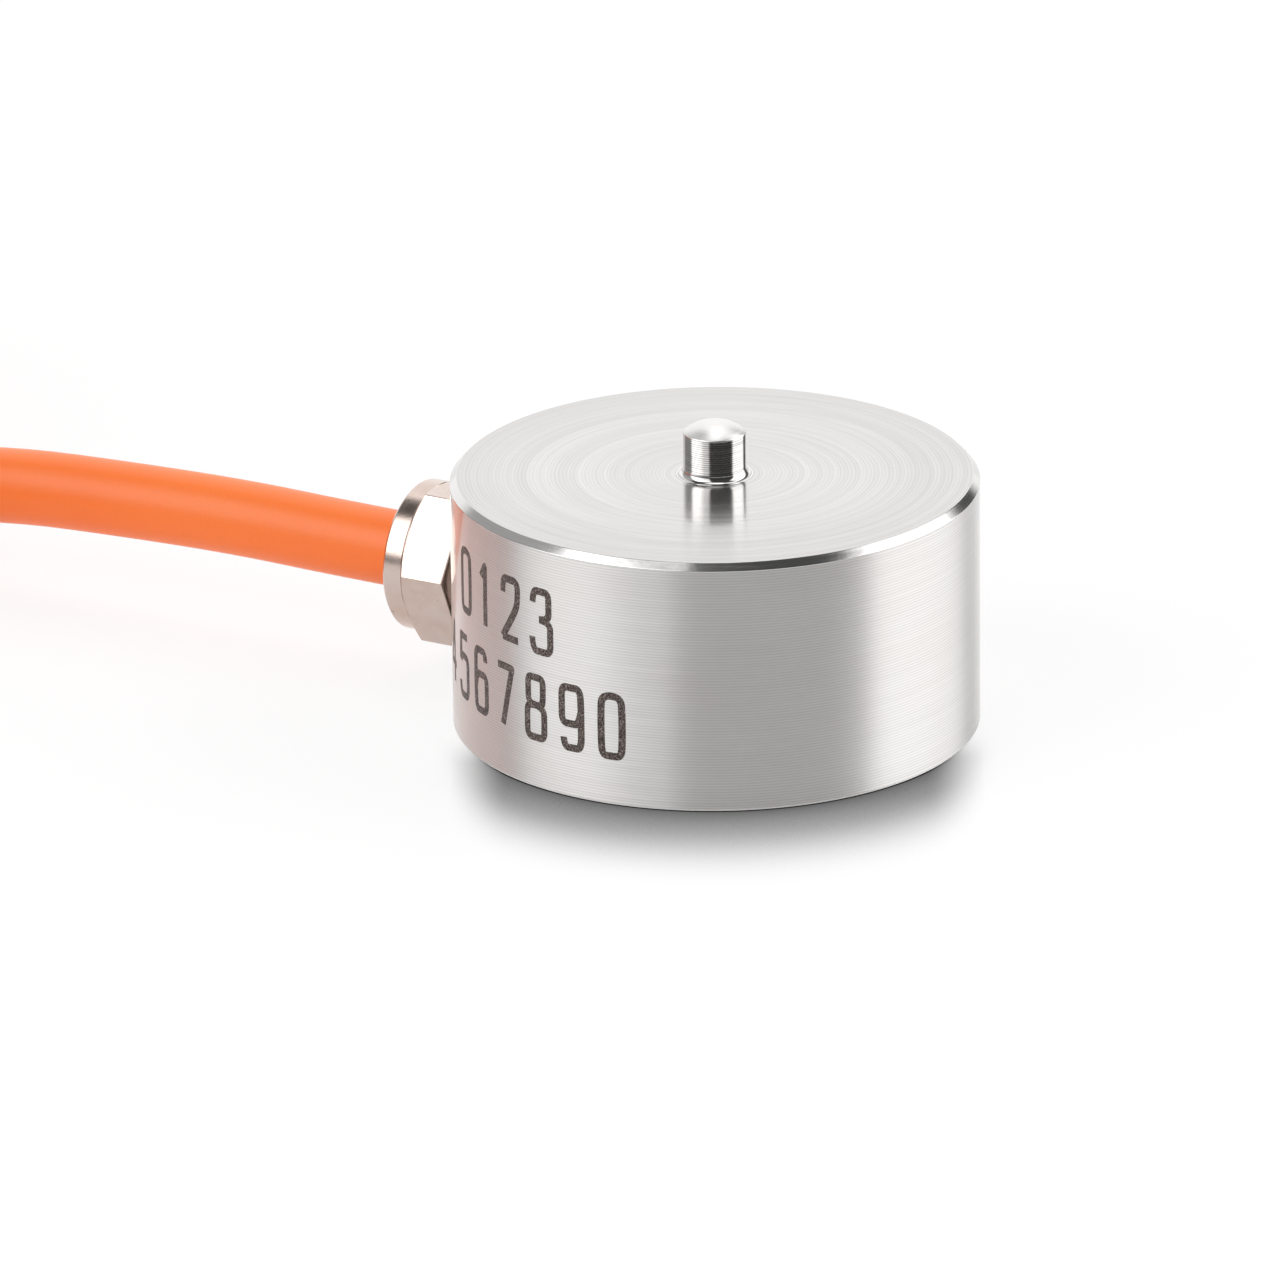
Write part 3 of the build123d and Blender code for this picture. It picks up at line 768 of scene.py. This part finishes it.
END_WIRES = {
    "white": (1, -1, [(0.7, 47, 0.75), (-1.5, 68, 0.405), (-2.9, 92, 0.405)]),
    "green": (1, 1, [(1.5, 46, 1.35), (-0.4, 66, 0.405), (-1.5, 88, 0.405)]),
    "drain": (0, 0, [(2.4, 45, 1.0), (0.7, 64, 0.25), (-0.1, 84, 0.25)]),
    "red": (-1, 1, [(3.3, 44, 1.35), (1.8, 62, 0.405), (1.2, 81, 0.405)]),
    "black": (-1, -1, [(4.1, 43, 0.75), (2.9, 60, 0.405), (2.7, 78, 0.405)]),
}
CORE_COLOURS = {
    "white": (0.78, 0.78, 0.75),
    "green": (0.015, 0.26, 0.07),
    "red": (0.58, 0.02, 0.02),
    "black": (0.012, 0.012, 0.013),
}


def twisted_strands(name, length, diameter, turns):
    """A bundle of seven tinned strands along +X: six wind round the middle one as screw lines."""
    strand = diameter / 3
    pieces = []
    for number in range(OUTER_STRANDS + 1):
        ring = 0 if number == OUTER_STRANDS else strand
        points = []
        for step in range(STRAND_STEPS + 1):
            share = step / STRAND_STEPS
            turn = math.tau * (turns * share + number / OUTER_STRANDS)
            points.append((length * share, ring * math.cos(turn), ring * math.sin(turn)))
        pieces.append(as_mesh(smooth_line(f"{name}_{number}", points, strand * STRAND_SWELL, 2, 1)))
    return put_together(name, pieces)


class LOADCELL_OT_cable_end(bpy.types.Operator):
    """Model the end of the cable: shrink sleeve, stripped cores with tinned tips, and the drain wire"""

    bl_idname = "load_cell.cable_end"
    bl_label = "Cable end"

    def execute(self, context):
        heading = tail_heading()
        inward = UP.cross(heading)
        tip = tail_tip()
        copper = dict(roughness=0.25, scale=6000.0, depth=4e-6)
        tinned = soft_metal("tinned copper", (0.66, 0.65, 0.62), **copper)
        radius = sizes().cable_diameter / MM / 2
        fitted = radius + SLEEVE_WALL
        bundle = CORE_SPREAD * math.sqrt(2) + CORE_DIAMETER / 2 + 0.03
        section = [
            (0, -SLEEVE_OVERLAP, 0),
            (radius + 0.02, -SLEEVE_OVERLAP, 0),
            (fitted + 0.02, -SLEEVE_OVERLAP, 0.06),
            (fitted + 0.03, -0.3, 0.5),
            (bundle + SLEEVE_WALL, 1.0, 0.6),
            (bundle + SLEEVE_WALL + 0.02, SLEEVE_REACH, 0.06),
            (bundle, SLEEVE_REACH, 0.0),
            (bundle - 0.02, SLEEVE_REACH - 0.7, 0.0),
            (0, SLEEVE_REACH - 0.9, 0),
        ]
        section = rounded(section, 5, 0.02)
        sleeve = turned("shrink_sleeve", section, 64, origin=tip, along=heading, out=inward)
        smooth(sleeve, 40)
        shrunk = dict(roughness=0.45, grain=1.5e-5, scale=2500.0)
        paint(sleeve, moulded("black shrink sleeve", (0.014, 0.014, 0.015), **shrunk))
        stand_for(sleeve, "end_sleeve", slot="shrink_black")

        riding = [sleeve]
        strands = twisted_strands("strands", TIP_LENGTH * MM, TIP_DIAMETER * MM, 0.8)
        for colour, (side, level, bends) in END_WIRES.items():
            start = tip + (inward * side + UP * level) * CORE_SPREAD * MM
            runs = (0.0, CORE_HIDDEN_RUN, SLEEVE_REACH + CORE_EXIT_RUN)
            points = [start + heading * run * MM for run in runs]
            for outside, angle, height in bends:
                points.append(about_coil(TAIL_RADIUS + outside, TAIL_END + angle, COIL_TOP + height))
            if colour == "drain":
                wire = smooth_line("drain_wire", points, DRAIN_DIAMETER * MM, 8, 3)
                paint(wire, tinned)
                stand_for(wire, "end_drain", slot="tinned_copper")
                riding.append(wire)
                continue
            wire = smooth_line(f"core_{colour}", points, CORE_DIAMETER * MM, 8, 4)
            paint(wire, moulded(f"{colour} core", CORE_COLOURS[colour], roughness=0.35))
            stand_for(wire, f"end_core_{colour}", slot=f"core_{colour}")
            stripped = strands.copy()
            stripped.data = strands.data.copy()
            stripped.name = f"stripped_tip_{colour}"
            context.scene.collection.objects.link(stripped)
            way = (points[-1] - points[-2]).normalized()
            turned_to = way.to_track_quat("X", "Z").to_matrix().to_4x4()
            stripped.matrix_world = Matrix.Translation(points[-1]) @ turned_to
            place_in_mesh(stripped)
            paint(stripped, tinned)
            stand_for(stripped, f"tinned_tip_{colour}", slot="tinned_copper")
            riding += [wire, stripped]
        bpy.data.objects.remove(strands)
        sizes().outlet_height
        return {"FINISHED"}


STRAP_WIDTH = 5.0
STRAP_THICKNESS = 0.5
STRAP_LOW = STRAP_THICKNESS / 2 + 0.02
STRAP_INNER, STRAP_OUTER, STRAP_END = 11.1, 23.4, 23.95
# The strap's course round the turns: distance from the middle of the coil, height and rounding
STRAP_COURSE = [
    (STRAP_OUTER, 5.0, 0),
    (STRAP_OUTER, 11.2, 2.0),
    (19.15, 15.5, 3.5),
    (15.35, 15.5, 3.5),
    (STRAP_INNER, 11.2, 2.0),
    (STRAP_INNER, STRAP_LOW, 1.0),
    (STRAP_OUTER, STRAP_LOW, 1.0),
    (STRAP_OUTER, 5.2, 0),
    (STRAP_END, 6.6, 0.8),
    (STRAP_END, 10.4, 0),
]


class LOADCELL_OT_strap(bpy.types.Operator):
    """Model the strap that holds the turns and the tail together"""

    bl_idname = "load_cell.strap"
    bl_label = "Coil strap"

    def execute(self, context):
        outwards = from_coil(TIE_ANGLE)
        sideways = UP.cross(outwards)
        course = rounded(STRAP_COURSE, 6, 0.3)
        places = [COIL_CENTRE * MM + outwards * reach + UP * height for reach, height in course]
        edge = sideways * STRAP_WIDTH * MM / 2
        strap = first_vertex("coil_strap", places[0] - edge)
        draw_on(edge * 2)
        bpy.ops.mesh.select_all(action="SELECT")
        bpy.ops.mesh.subdivide(number_cuts=4)
        for before, after in zip(places, places[1:]):
            draw_on(after - before)
        bpy.ops.mesh.select_all(action="SELECT")
        bpy.ops.mesh.normals_make_consistent(inside=False)
        bpy.ops.object.mode_set(mode="OBJECT")
        own_map = strap.data.uv_layers.new(name="strap")
        run = [0.0]
        for before, after in zip(places, places[1:]):
            run.append(run[-1] + (after - before).length)
        for loop in strap.data.loops:
            corner = strap.data.vertices[loop.vertex_index].co
            across = (corner - COIL_CENTRE * MM).dot(sideways)
            flat = corner - sideways * across
            nearest = min(range(len(places)), key=lambda index: (places[index] - flat).length)
            own_map.data[loop.index].uv = (run[nearest], across)
        apply_modifier(strap, "SOLIDIFY", thickness=STRAP_THICKNESS * MM, offset=0.0)
        soften_edges(strap, 0.12, 2, 60)
        smooth(strap, 50)
        paint(strap, woven_strap("black webbing", colours().strap))
        stand_for(strap, "coil_tie", slot="strap_black")
        return {"FINISHED"}


# Body, cover and fitting, in millimetres as in the solids: radii and heights inside the body, the hole in its
# side, and the fitting's places by their distance from the load axis

SEAT_RADIUS, SEAT_TOP = 8.3, 1.3
HOLLOW_RADIUS, HOLLOW_TOP = 7.3, 8.0
BAY_RADIUS, BAY_TOP = 6.5, 9.2
BOSS_RADIUS, BOSS_BOTTOM = 2.2, 8.0
HOLE_RADIUS, HOLE_START, HOLE_END = 2.53, 6.4, 10.4
BORE_START = 7.0
STUB_RADIUS, STUB_END = 2.5, 7.4
HEX_BASE, HEX_FACE, FITTING_END = 10.1, 12.1, 13.0
HEX_TURN = math.radians(4.8)

# The body's finishes after the one of its side, in their order
FACED, EDGE, DOME, SHANK = range(1, 5)


class LOADCELL_OT_body(bpy.types.Operator):
    """Turn the body with its load button, and tap the hole for the fitting"""

    bl_idname = "load_cell.body"
    bl_label = "Body and button"

    def execute(self, context):
        size = sizes()
        radius = size.body_diameter / MM / 2
        top = size.body_height / MM
        chamfer = size.top_chamfer / MM
        button = size.button_diameter / MM / 2
        rim = top + size.button_shank / MM
        dome = size.button_dome / MM
        dome_radius = (button**2 + dome**2) / (2 * dome)
        dome_middle = rim + dome - dome_radius
        dome_turn = math.asin(button / dome_radius)
        section = []
        for step in range(15):
            turn = dome_turn * step / 15
            section.append((dome_radius * math.sin(turn), dome_middle + dome_radius * math.cos(turn), 0))
        section += [
            (button, rim, 0.08),
            (button, top, 0.3),
            (radius - chamfer, top, 0.03),
            (radius, top - chamfer, 0.03),
            (radius, 0.1, 0.03),
            (radius - 0.1, 0, 0.03),
            (SEAT_RADIUS, 0, 0.02),
            (SEAT_RADIUS, SEAT_TOP, 0),
            (HOLLOW_RADIUS, SEAT_TOP, 0),
            (HOLLOW_RADIUS, HOLLOW_TOP, 0),
            (BAY_RADIUS, HOLLOW_TOP, 0),
            (BAY_RADIUS, BAY_TOP, 0.3),
            (BOSS_RADIUS, BAY_TOP, 0.3),
            (BOSS_RADIUS, BOSS_BOTTOM, 0),
            (0, BOSS_BOTTOM, 0),
        ]
        body = turned("turned_body", rounded(section, 6, 0.02), 288)
        inner, outer, wide = [length * MM for length in (HOLE_START, HOLE_END, HOLE_RADIUS)]
        drill = [(0, inner), (wide, inner), (wide, outer), (0, outer)]
        hole = turned("hole", drill, 96, origin=(0, 0, size.outlet_height), along=OUTWARD, out=UP)
        combine(body, hole, "DIFFERENCE")
        smooth(body, 28)
        steel = colours().steel
        # Lit and shaded copies of the one steel: the side, the shank and the dome are painted lighter, and
        # the top face painted darker
        lit_side_steel = tuple(1.13 * shade for shade in steel)
        shaded_top_steel = tuple(0.97 * shade for shade in steel)
        lit_dome_steel = tuple(1.2 * shade for shade in steel)
        faced = dict(roughness=0.19, stretch=0.8, depth=0.7e-6, even=0.15, rim=0.7 * size.body_diameter / 2)
        paint(
            body,
            turned_steel("turned steel", lit_side_steel, 0.11 * MM, 0.2, roughness=0.41, even=0.4, broad=0.02),
            turned_steel("faced steel", shaded_top_steel, 0.14 * MM, 0.28, **faced),
            bright_cut("bright cut steel", steel),
            bright_cut("satin dome", lit_dome_steel, 0.34, 0.2e-6, contrast=0.05),
            bright_cut("lined shank", lit_side_steel, 0.07, 0.4e-6, 0.085 * MM, 0.42),
        )
        for face in body.data.polygons:
            level = face.center.z / MM
            reach = math.hypot(face.center.x, face.center.y) / MM
            if abs(level - top) < 0.005:
                face.material_index = FACED
            elif level > rim:
                face.material_index = DOME
            elif level > top:
                face.material_index = SHANK
            elif reach > radius - 1.5 * chamfer and level > top - chamfer - 0.03:
                face.material_index = EDGE
        stand_for(body, "load_body", slot="body_steel")
        cover = turned_steel("cover steel", (0.54, 0.53, 0.525), 0.16 * MM, 0.2)
        paint(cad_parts["base_cover"], cover)
        return {"FINISHED"}


class LOADCELL_OT_fitting(bpy.types.Operator):
    """Model the cable fitting: hexagon, collar, threaded stub and bore"""

    bl_idname = "load_cell.fitting"
    bl_label = "Cable fitting"

    def execute(self, context):
        size = sizes()
        flats = size.hex_across_flats / MM / 2
        corner = flats / math.cos(math.radians(30))
        cone = (corner - flats) * math.tan(math.radians(30))
        bore = size.cable_diameter / MM / 2 + 0.05
        middle = (0, 0, size.outlet_height)
        to_corner = (0, -math.cos(HEX_TURN), math.sin(HEX_TURN))

        def along_fitting(name, corners, steps, out=UP):
            return turned(name, rounded(corners, 4, 0.015), steps, origin=middle, along=OUTWARD, out=out)

        outline = [(0, HEX_BASE, 0), (corner, HEX_BASE, 0), (corner, HEX_FACE, 0), (0, HEX_FACE, 0)]
        hexagon = along_fitting("hexagon_fitting", outline, 6, out=to_corner)
        soften_edges(hexagon, 0.045, 3, 40)
        crown = along_fitting(
            "crown",
            [
                (0, HEX_BASE - 0.5, 0),
                (corner + 0.5, HEX_BASE - 0.5, 0),
                (corner + 0.5, HEX_FACE - cone - 0.5 * math.tan(math.radians(30)), 0),
                (flats - 0.02, HEX_FACE + 0.012, 0),
                (0, HEX_FACE + 0.012, 0),
            ],
            144,
        )
        combine(hexagon, crown, "INTERSECT")
        collar = along_fitting(
            "collar",
            [
                (0, STUB_END, 0),
                (STUB_RADIUS, STUB_END, 0.1),
                (STUB_RADIUS, HEX_BASE + 0.2, 0),
                (flats - 0.04, HEX_BASE + 0.3, 0),
                (flats - 0.04, HEX_FACE + 0.02, 0),
                (flats, HEX_FACE + 0.06, 0.02),
                (flats, FITTING_END - 0.12, 0.05),
                (flats - 0.12, FITTING_END, 0.05),
                (0, FITTING_END, 0),
            ],
            144,
        )
        combine(hexagon, collar, "UNION")
        mouth, past = FITTING_END - 0.12, FITTING_END + 0.04
        outline = [(0, BORE_START, 0), (bore, BORE_START, 0), (bore, mouth, 0.03)]
        drill = along_fitting("drill", outline + [(bore + 0.16, past, 0), (0, past, 0)], 96)
        combine(hexagon, drill, "DIFFERENCE")
        smooth(hexagon, 26)
        paint(hexagon, nickel_plating("nickel plating", colours().nickel))
        stand_for(hexagon, "cable_fitting", slot="nickel_plate")
        return {"FINISHED"}


# Etched digits. Each is one or more lines, in hundredths of the digit's height from its lower left corner. A
# line with True is smooth, and one with False has straight runs.

DIGIT_LINES = {
    "0": [(True, [(24, 100), (2, 100), (0, 72), (0, 28), (2, 0), (24, 0), (46, 0), (48, 28), (48, 72),
                  (46, 100), (24, 100)])],
    "1": [(False, [(10, 80), (27, 100), (27, 0)])],
    "2": [(True, [(2, 76), (2, 100), (24, 100), (50, 100), (50, 72), (46, 55), (18, 22), (0, 2)]),
          (False, [(0, 2), (50, 2)])],
    "3": [(True, [(2, 80), (4, 100), (24, 100), (46, 100), (46, 76), (46, 54), (20, 53)]),
          (True, [(20, 53), (50, 53), (50, 26), (50, 0), (24, 0), (2, 0), (0, 22)])],
    "4": [(False, [(36, 0), (36, 100), (0, 30), (52, 30)])],
    "5": [(False, [(46, 99), (6, 99), (4, 56)]),
          (True, [(4, 56), (12, 66), (28, 66), (50, 64), (50, 32), (50, 0), (24, 0), (4, 0), (0, 20)])],
    "6": [(True, [(44, 84), (42, 100), (24, 100), (0, 100), (0, 62), (0, 30), (2, 0), (24, 0), (48, 0),
                  (48, 30), (48, 60), (24, 60), (6, 60), (1, 40)])],
    "7": [(False, [(0, 98), (48, 98), (16, 0)])],
    "8": [(True, [(24, 54), (4, 54), (3, 77), (3, 100), (24, 100), (45, 100), (45, 77), (44, 54), (24, 54),
                  (0, 52), (0, 26), (0, 0), (24, 0), (48, 0), (48, 26), (48, 52), (24, 54)])],
    "9": [(True, [(4, 16), (6, 0), (24, 0), (48, 0), (48, 38), (48, 70), (46, 100), (24, 100), (0, 100),
                  (0, 70), (0, 40), (24, 40), (42, 40), (47, 60)])],
}
# Rows of digits: text, angle of the first and the last one from the camera's heading in degrees, and height
# of the foot of the first and the last one in millimetres
DIGIT_ROWS = [
    ("0123", -69.4, -40.7, 5.52, 5.36),
    ("4567890", -81.4, -23.0, 2.04, 1.80),
]
# Middle of a digit as a share of its height, its width against its height, steps of a straight run, and how
# flat the line is on the body
DIGIT_MIDDLE = 0.25
DIGIT_WIDTH = 0.66
RUN_STEPS = 12
MARK_FLATNESS = 0.05


class LOADCELL_OT_digits(bpy.types.Operator):
    """Etch two rows of plain digits into the side of the body"""

    bl_idname = "load_cell.digits"
    bl_label = "Etched digits"

    def execute(self, context):
        size = sizes()
        radius = size.body_diameter / 2
        height = size.digit_height
        stroke = size.digit_stroke
        marks = []
        for text, first, last, first_foot, last_foot in DIGIT_ROWS:
            for number, digit in enumerate(text):
                share = number / (len(text) - 1)
                azimuth = VIEW_HEADING + math.radians(first + (last - first) * share)
                foot = (first_foot + (last_foot - first_foot) * share) * MM
                lines = []
                for is_smooth, points in DIGIT_LINES[digit]:
                    places = []
                    for x, y in points:
                        aside = (x / 100 - DIGIT_MIDDLE) * height * DIGIT_WIDTH
                        places.append(Vector((aside, 0, y / 100 * (height - stroke) + stroke / 2)))
                    if not is_smooth:
                        dense = []
                        for before, after in zip(places, places[1:]):
                            dense += [before.lerp(after, step / RUN_STEPS) for step in range(RUN_STEPS)]
                        places = dense + [places[-1]]
                    line = smooth_line(f"stroke_{digit}", places, stroke, 6, 3)
                    if not is_smooth:
                        line.data.splines[0].order_u = 2
                    lines.append(as_mesh(line))
                mark = put_together(f"digit_{len(marks)}", lines)
                mark.scale = (1, MARK_FLATNESS, 1)
                place_in_mesh(mark)
                deform = dict(deform_method="BEND", deform_axis="Z", angle=mark.dimensions.x / radius)
                apply_modifier(mark, "SIMPLE_DEFORM", **deform)
                mark.location = (0, -radius, foot)
                place_in_mesh(mark)
                mark.rotation_euler = (0, 0, azimuth)
                place_in_mesh(mark)
                marks.append(mark)
        digits = put_together("etched_digits", marks)
        smooth(digits, 40)
        paint(digits, etched_mark("etched line", colours().etching))
        stand_for(digits, slot="body_steel")
        return {"FINISHED"}


class LOADCELL_OT_inside(bpy.types.Operator):
    """Give the pieces inside the body their finishes"""

    bl_idname = "load_cell.inside"
    bl_label = "Inner pieces"

    def execute(self, context):
        solder = soft_metal("solder", (0.58, 0.57, 0.55), roughness=0.25, scale=2600.0)
        copper = soft_metal("enamelled copper", (0.72, 0.30, 0.14), roughness=0.25, depth=2e-6)
        film = moulded("amber carrier film", (0.55, 0.24, 0.04), roughness=0.3, grain=2e-6)
        foil = soft_metal("etched foil", (0.66, 0.52, 0.36), roughness=0.35, scale=12000.0, depth=1e-6)
        ceramic = moulded("resistor glaze", (0.03, 0.03, 0.035), roughness=0.3, grain=3e-6)
        finishes = {
            "shield_braid": wire_braid("tinned braid", (0.62, 0.61, 0.58), sizes().outlet_height),
            "clamp_ferrule": soft_metal("ferrule brass", (0.70, 0.50, 0.24), roughness=0.3, depth=4e-6),
            "terminal_board": circuit_board("green board", (0.02, 0.20, 0.07)),
        }
        for place in ("core", "resistor", "tab", "board"):
            finishes[f"{place}_solder_joints"] = solder
        for purpose in ("zero", "span", "modulus"):
            finishes[f"{purpose}_resistor"] = ceramic
        for colour, shade in CORE_COLOURS.items():
            finishes[f"inner_core_{colour}"] = moulded(f"{colour} inner core", shade, roughness=0.35)
        for number in range(1, 5):
            finishes[f"gauge_film_{number}"] = film
            finishes[f"gauge_foil_{number}"] = foil
            finishes[f"gauge_lead_{number}_left"] = copper
            finishes[f"gauge_lead_{number}_right"] = copper
        for node, material in finishes.items():
            paint(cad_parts[node], material)
        return {"FINISHED"}


# Stage: pale floor, and a studio whose soft lights stand on both sides of the camera, with a bright backdrop.
# The floor's size is in metres, and the reach of the painted shadow at the body's foot in millimetres

FLOOR_SIZE = 4.0
PAINTED_SHADOW_REACH = 8.0
FLOOR_OWN_WHITE = 0.8
FLOOR_MIRRORED_WHITE = 0.55
# Soft lights round the object: middle and half width in degrees to the right of the camera's side, middle and
# half height in degrees above the floor, how soft the edge is, how many degrees it rises for each degree to
# the right, and brightness
SOFT_LIGHTS = [
    (-56, 36, 38, 26, 4, 0.17, 1.75),
    (-69, 22, 34, 22, 11, 0.17, 1.5),
    (100, 30, 20, 31, 6, 0.0, 2.8),
    (185.5, 35.5, 20, 34, 4, 0.0, 1.2),
    (160, 48, 70, 17, 5, 0.0, 1.5),
    (0, 181, 90, 15, 4, 0.0, 1.4),
    (-115, 24, 25, 25, 4, 0.0, 0.4),
]
DIM_LIGHT = 0.08


class LOADCELL_OT_stage(bpy.types.Operator):
    """Set up the floor and the studio light"""

    bl_idname = "load_cell.stage"
    bl_label = "Stage"

    def execute(self, context):
        deselect_everything()
        under = (0, 0, -0.01 * MM)
        bpy.ops.mesh.primitive_grid_add(x_subdivisions=8, y_subdivisions=8, size=FLOOR_SIZE, location=under)
        floor = bpy.context.object
        floor.name = "floor"
        place_in_mesh(floor)
        paint(floor, pale_floor("pale floor", colours().floor))

        scene = context.scene
        scene.view_settings.view_transform = "Standard"
        scene.world = bpy.data.worlds.new("studio")
        scene.world.use_nodes = True
        sky = Nodes(scene.world.node_tree)
        sky.tree.nodes.clear()

        def inside(angle, half, edge):
            """One inside the half width and nothing outside it, with a soft edge."""
            angle = sky.math("ABSOLUTE", angle)
            return sky.soft_step(angle, math.radians(half + edge), math.radians(half - edge))

        way = sky.node("ShaderNodeTexCoord").outputs["Generated"]
        x, y, z = sky.parts(way)
        heading = sky.math("ARCTAN2", x, sky.times(y, -1.0))
        rise = sky.math("ARCSINE", z)
        brightness = DIM_LIGHT
        for aside, half_width, above, half_height, edge, slope, strength in SOFT_LIGHTS:
            turn = sky.math("SUBTRACT", heading, VIEW_HEADING + math.radians(aside))
            turn = sky.math("WRAP", turn, math.pi, -math.pi)
            middle = sky.math("MULTIPLY_ADD", turn, slope, math.radians(above))
            tilt = sky.math("SUBTRACT", rise, middle)
            box = sky.times(inside(turn, half_width, edge), inside(tilt, half_height, edge))
            brightness = sky.math("MULTIPLY_ADD", box, strength, brightness)
        lit = sky.node("ShaderNodeBackground", {"Color": (1.0, 1.0, 1.0, 1.0), "Strength": brightness})
        sky.node("ShaderNodeOutputWorld", {"Surface": lit.outputs[0]})
        return {"FINISHED"}


class LOADCELL_PT_panel(bpy.types.Panel):
    """The load cell's pieces, in the order in which they are made"""

    bl_idname = "LOADCELL_PT_panel"
    bl_label = "Button Load Cell"
    bl_space_type = "VIEW_3D"
    bl_region_type = "UI"
    bl_category = "Load Cell"

    def draw(self, context):
        for group in (sizes(), colours()):
            for setting in group.bl_rna.properties.keys():
                if setting not in ("rna_type", "name"):
                    self.layout.prop(group, setting)
        for operator in OPERATORS:
            self.layout.operator(operator.bl_idname)


OPERATORS = (
    LOADCELL_OT_camera,
    LOADCELL_OT_cable,
    LOADCELL_OT_strap,
    LOADCELL_OT_fitting,
    LOADCELL_OT_cable_end,
    LOADCELL_OT_body,
    LOADCELL_OT_digits,
    LOADCELL_OT_inside,
    LOADCELL_OT_stage,
)
CLASSES = (LoadCellSizes, LoadCellColours, *OPERATORS, LOADCELL_PT_panel)


def register():
    for kind in CLASSES:
        bpy.utils.register_class(kind)
    setattr(bpy.types.Scene, SIZES, bpy.props.PointerProperty(type=LoadCellSizes))
    setattr(bpy.types.Scene, COLOURS, bpy.props.PointerProperty(type=LoadCellColours))


def unregister():
    delattr(bpy.types.Scene, COLOURS)
    delattr(bpy.types.Scene, SIZES)
    for kind in reversed(CLASSES):
        bpy.utils.unregister_class(kind)


def main():
    register()
    bpy.ops.load_cell.camera()
    bpy.ops.load_cell.cable()
    bpy.ops.load_cell.strap()
    bpy.ops.load_cell.fitting()
    bpy.ops.load_cell.cable_end()
    bpy.ops.load_cell.body()
    bpy.ops.load_cell.digits()
    bpy.ops.load_cell.inside()
    bpy.ops.load_cell.stage()
    deselect_everything()


if __name__ == "__main__":
    main()
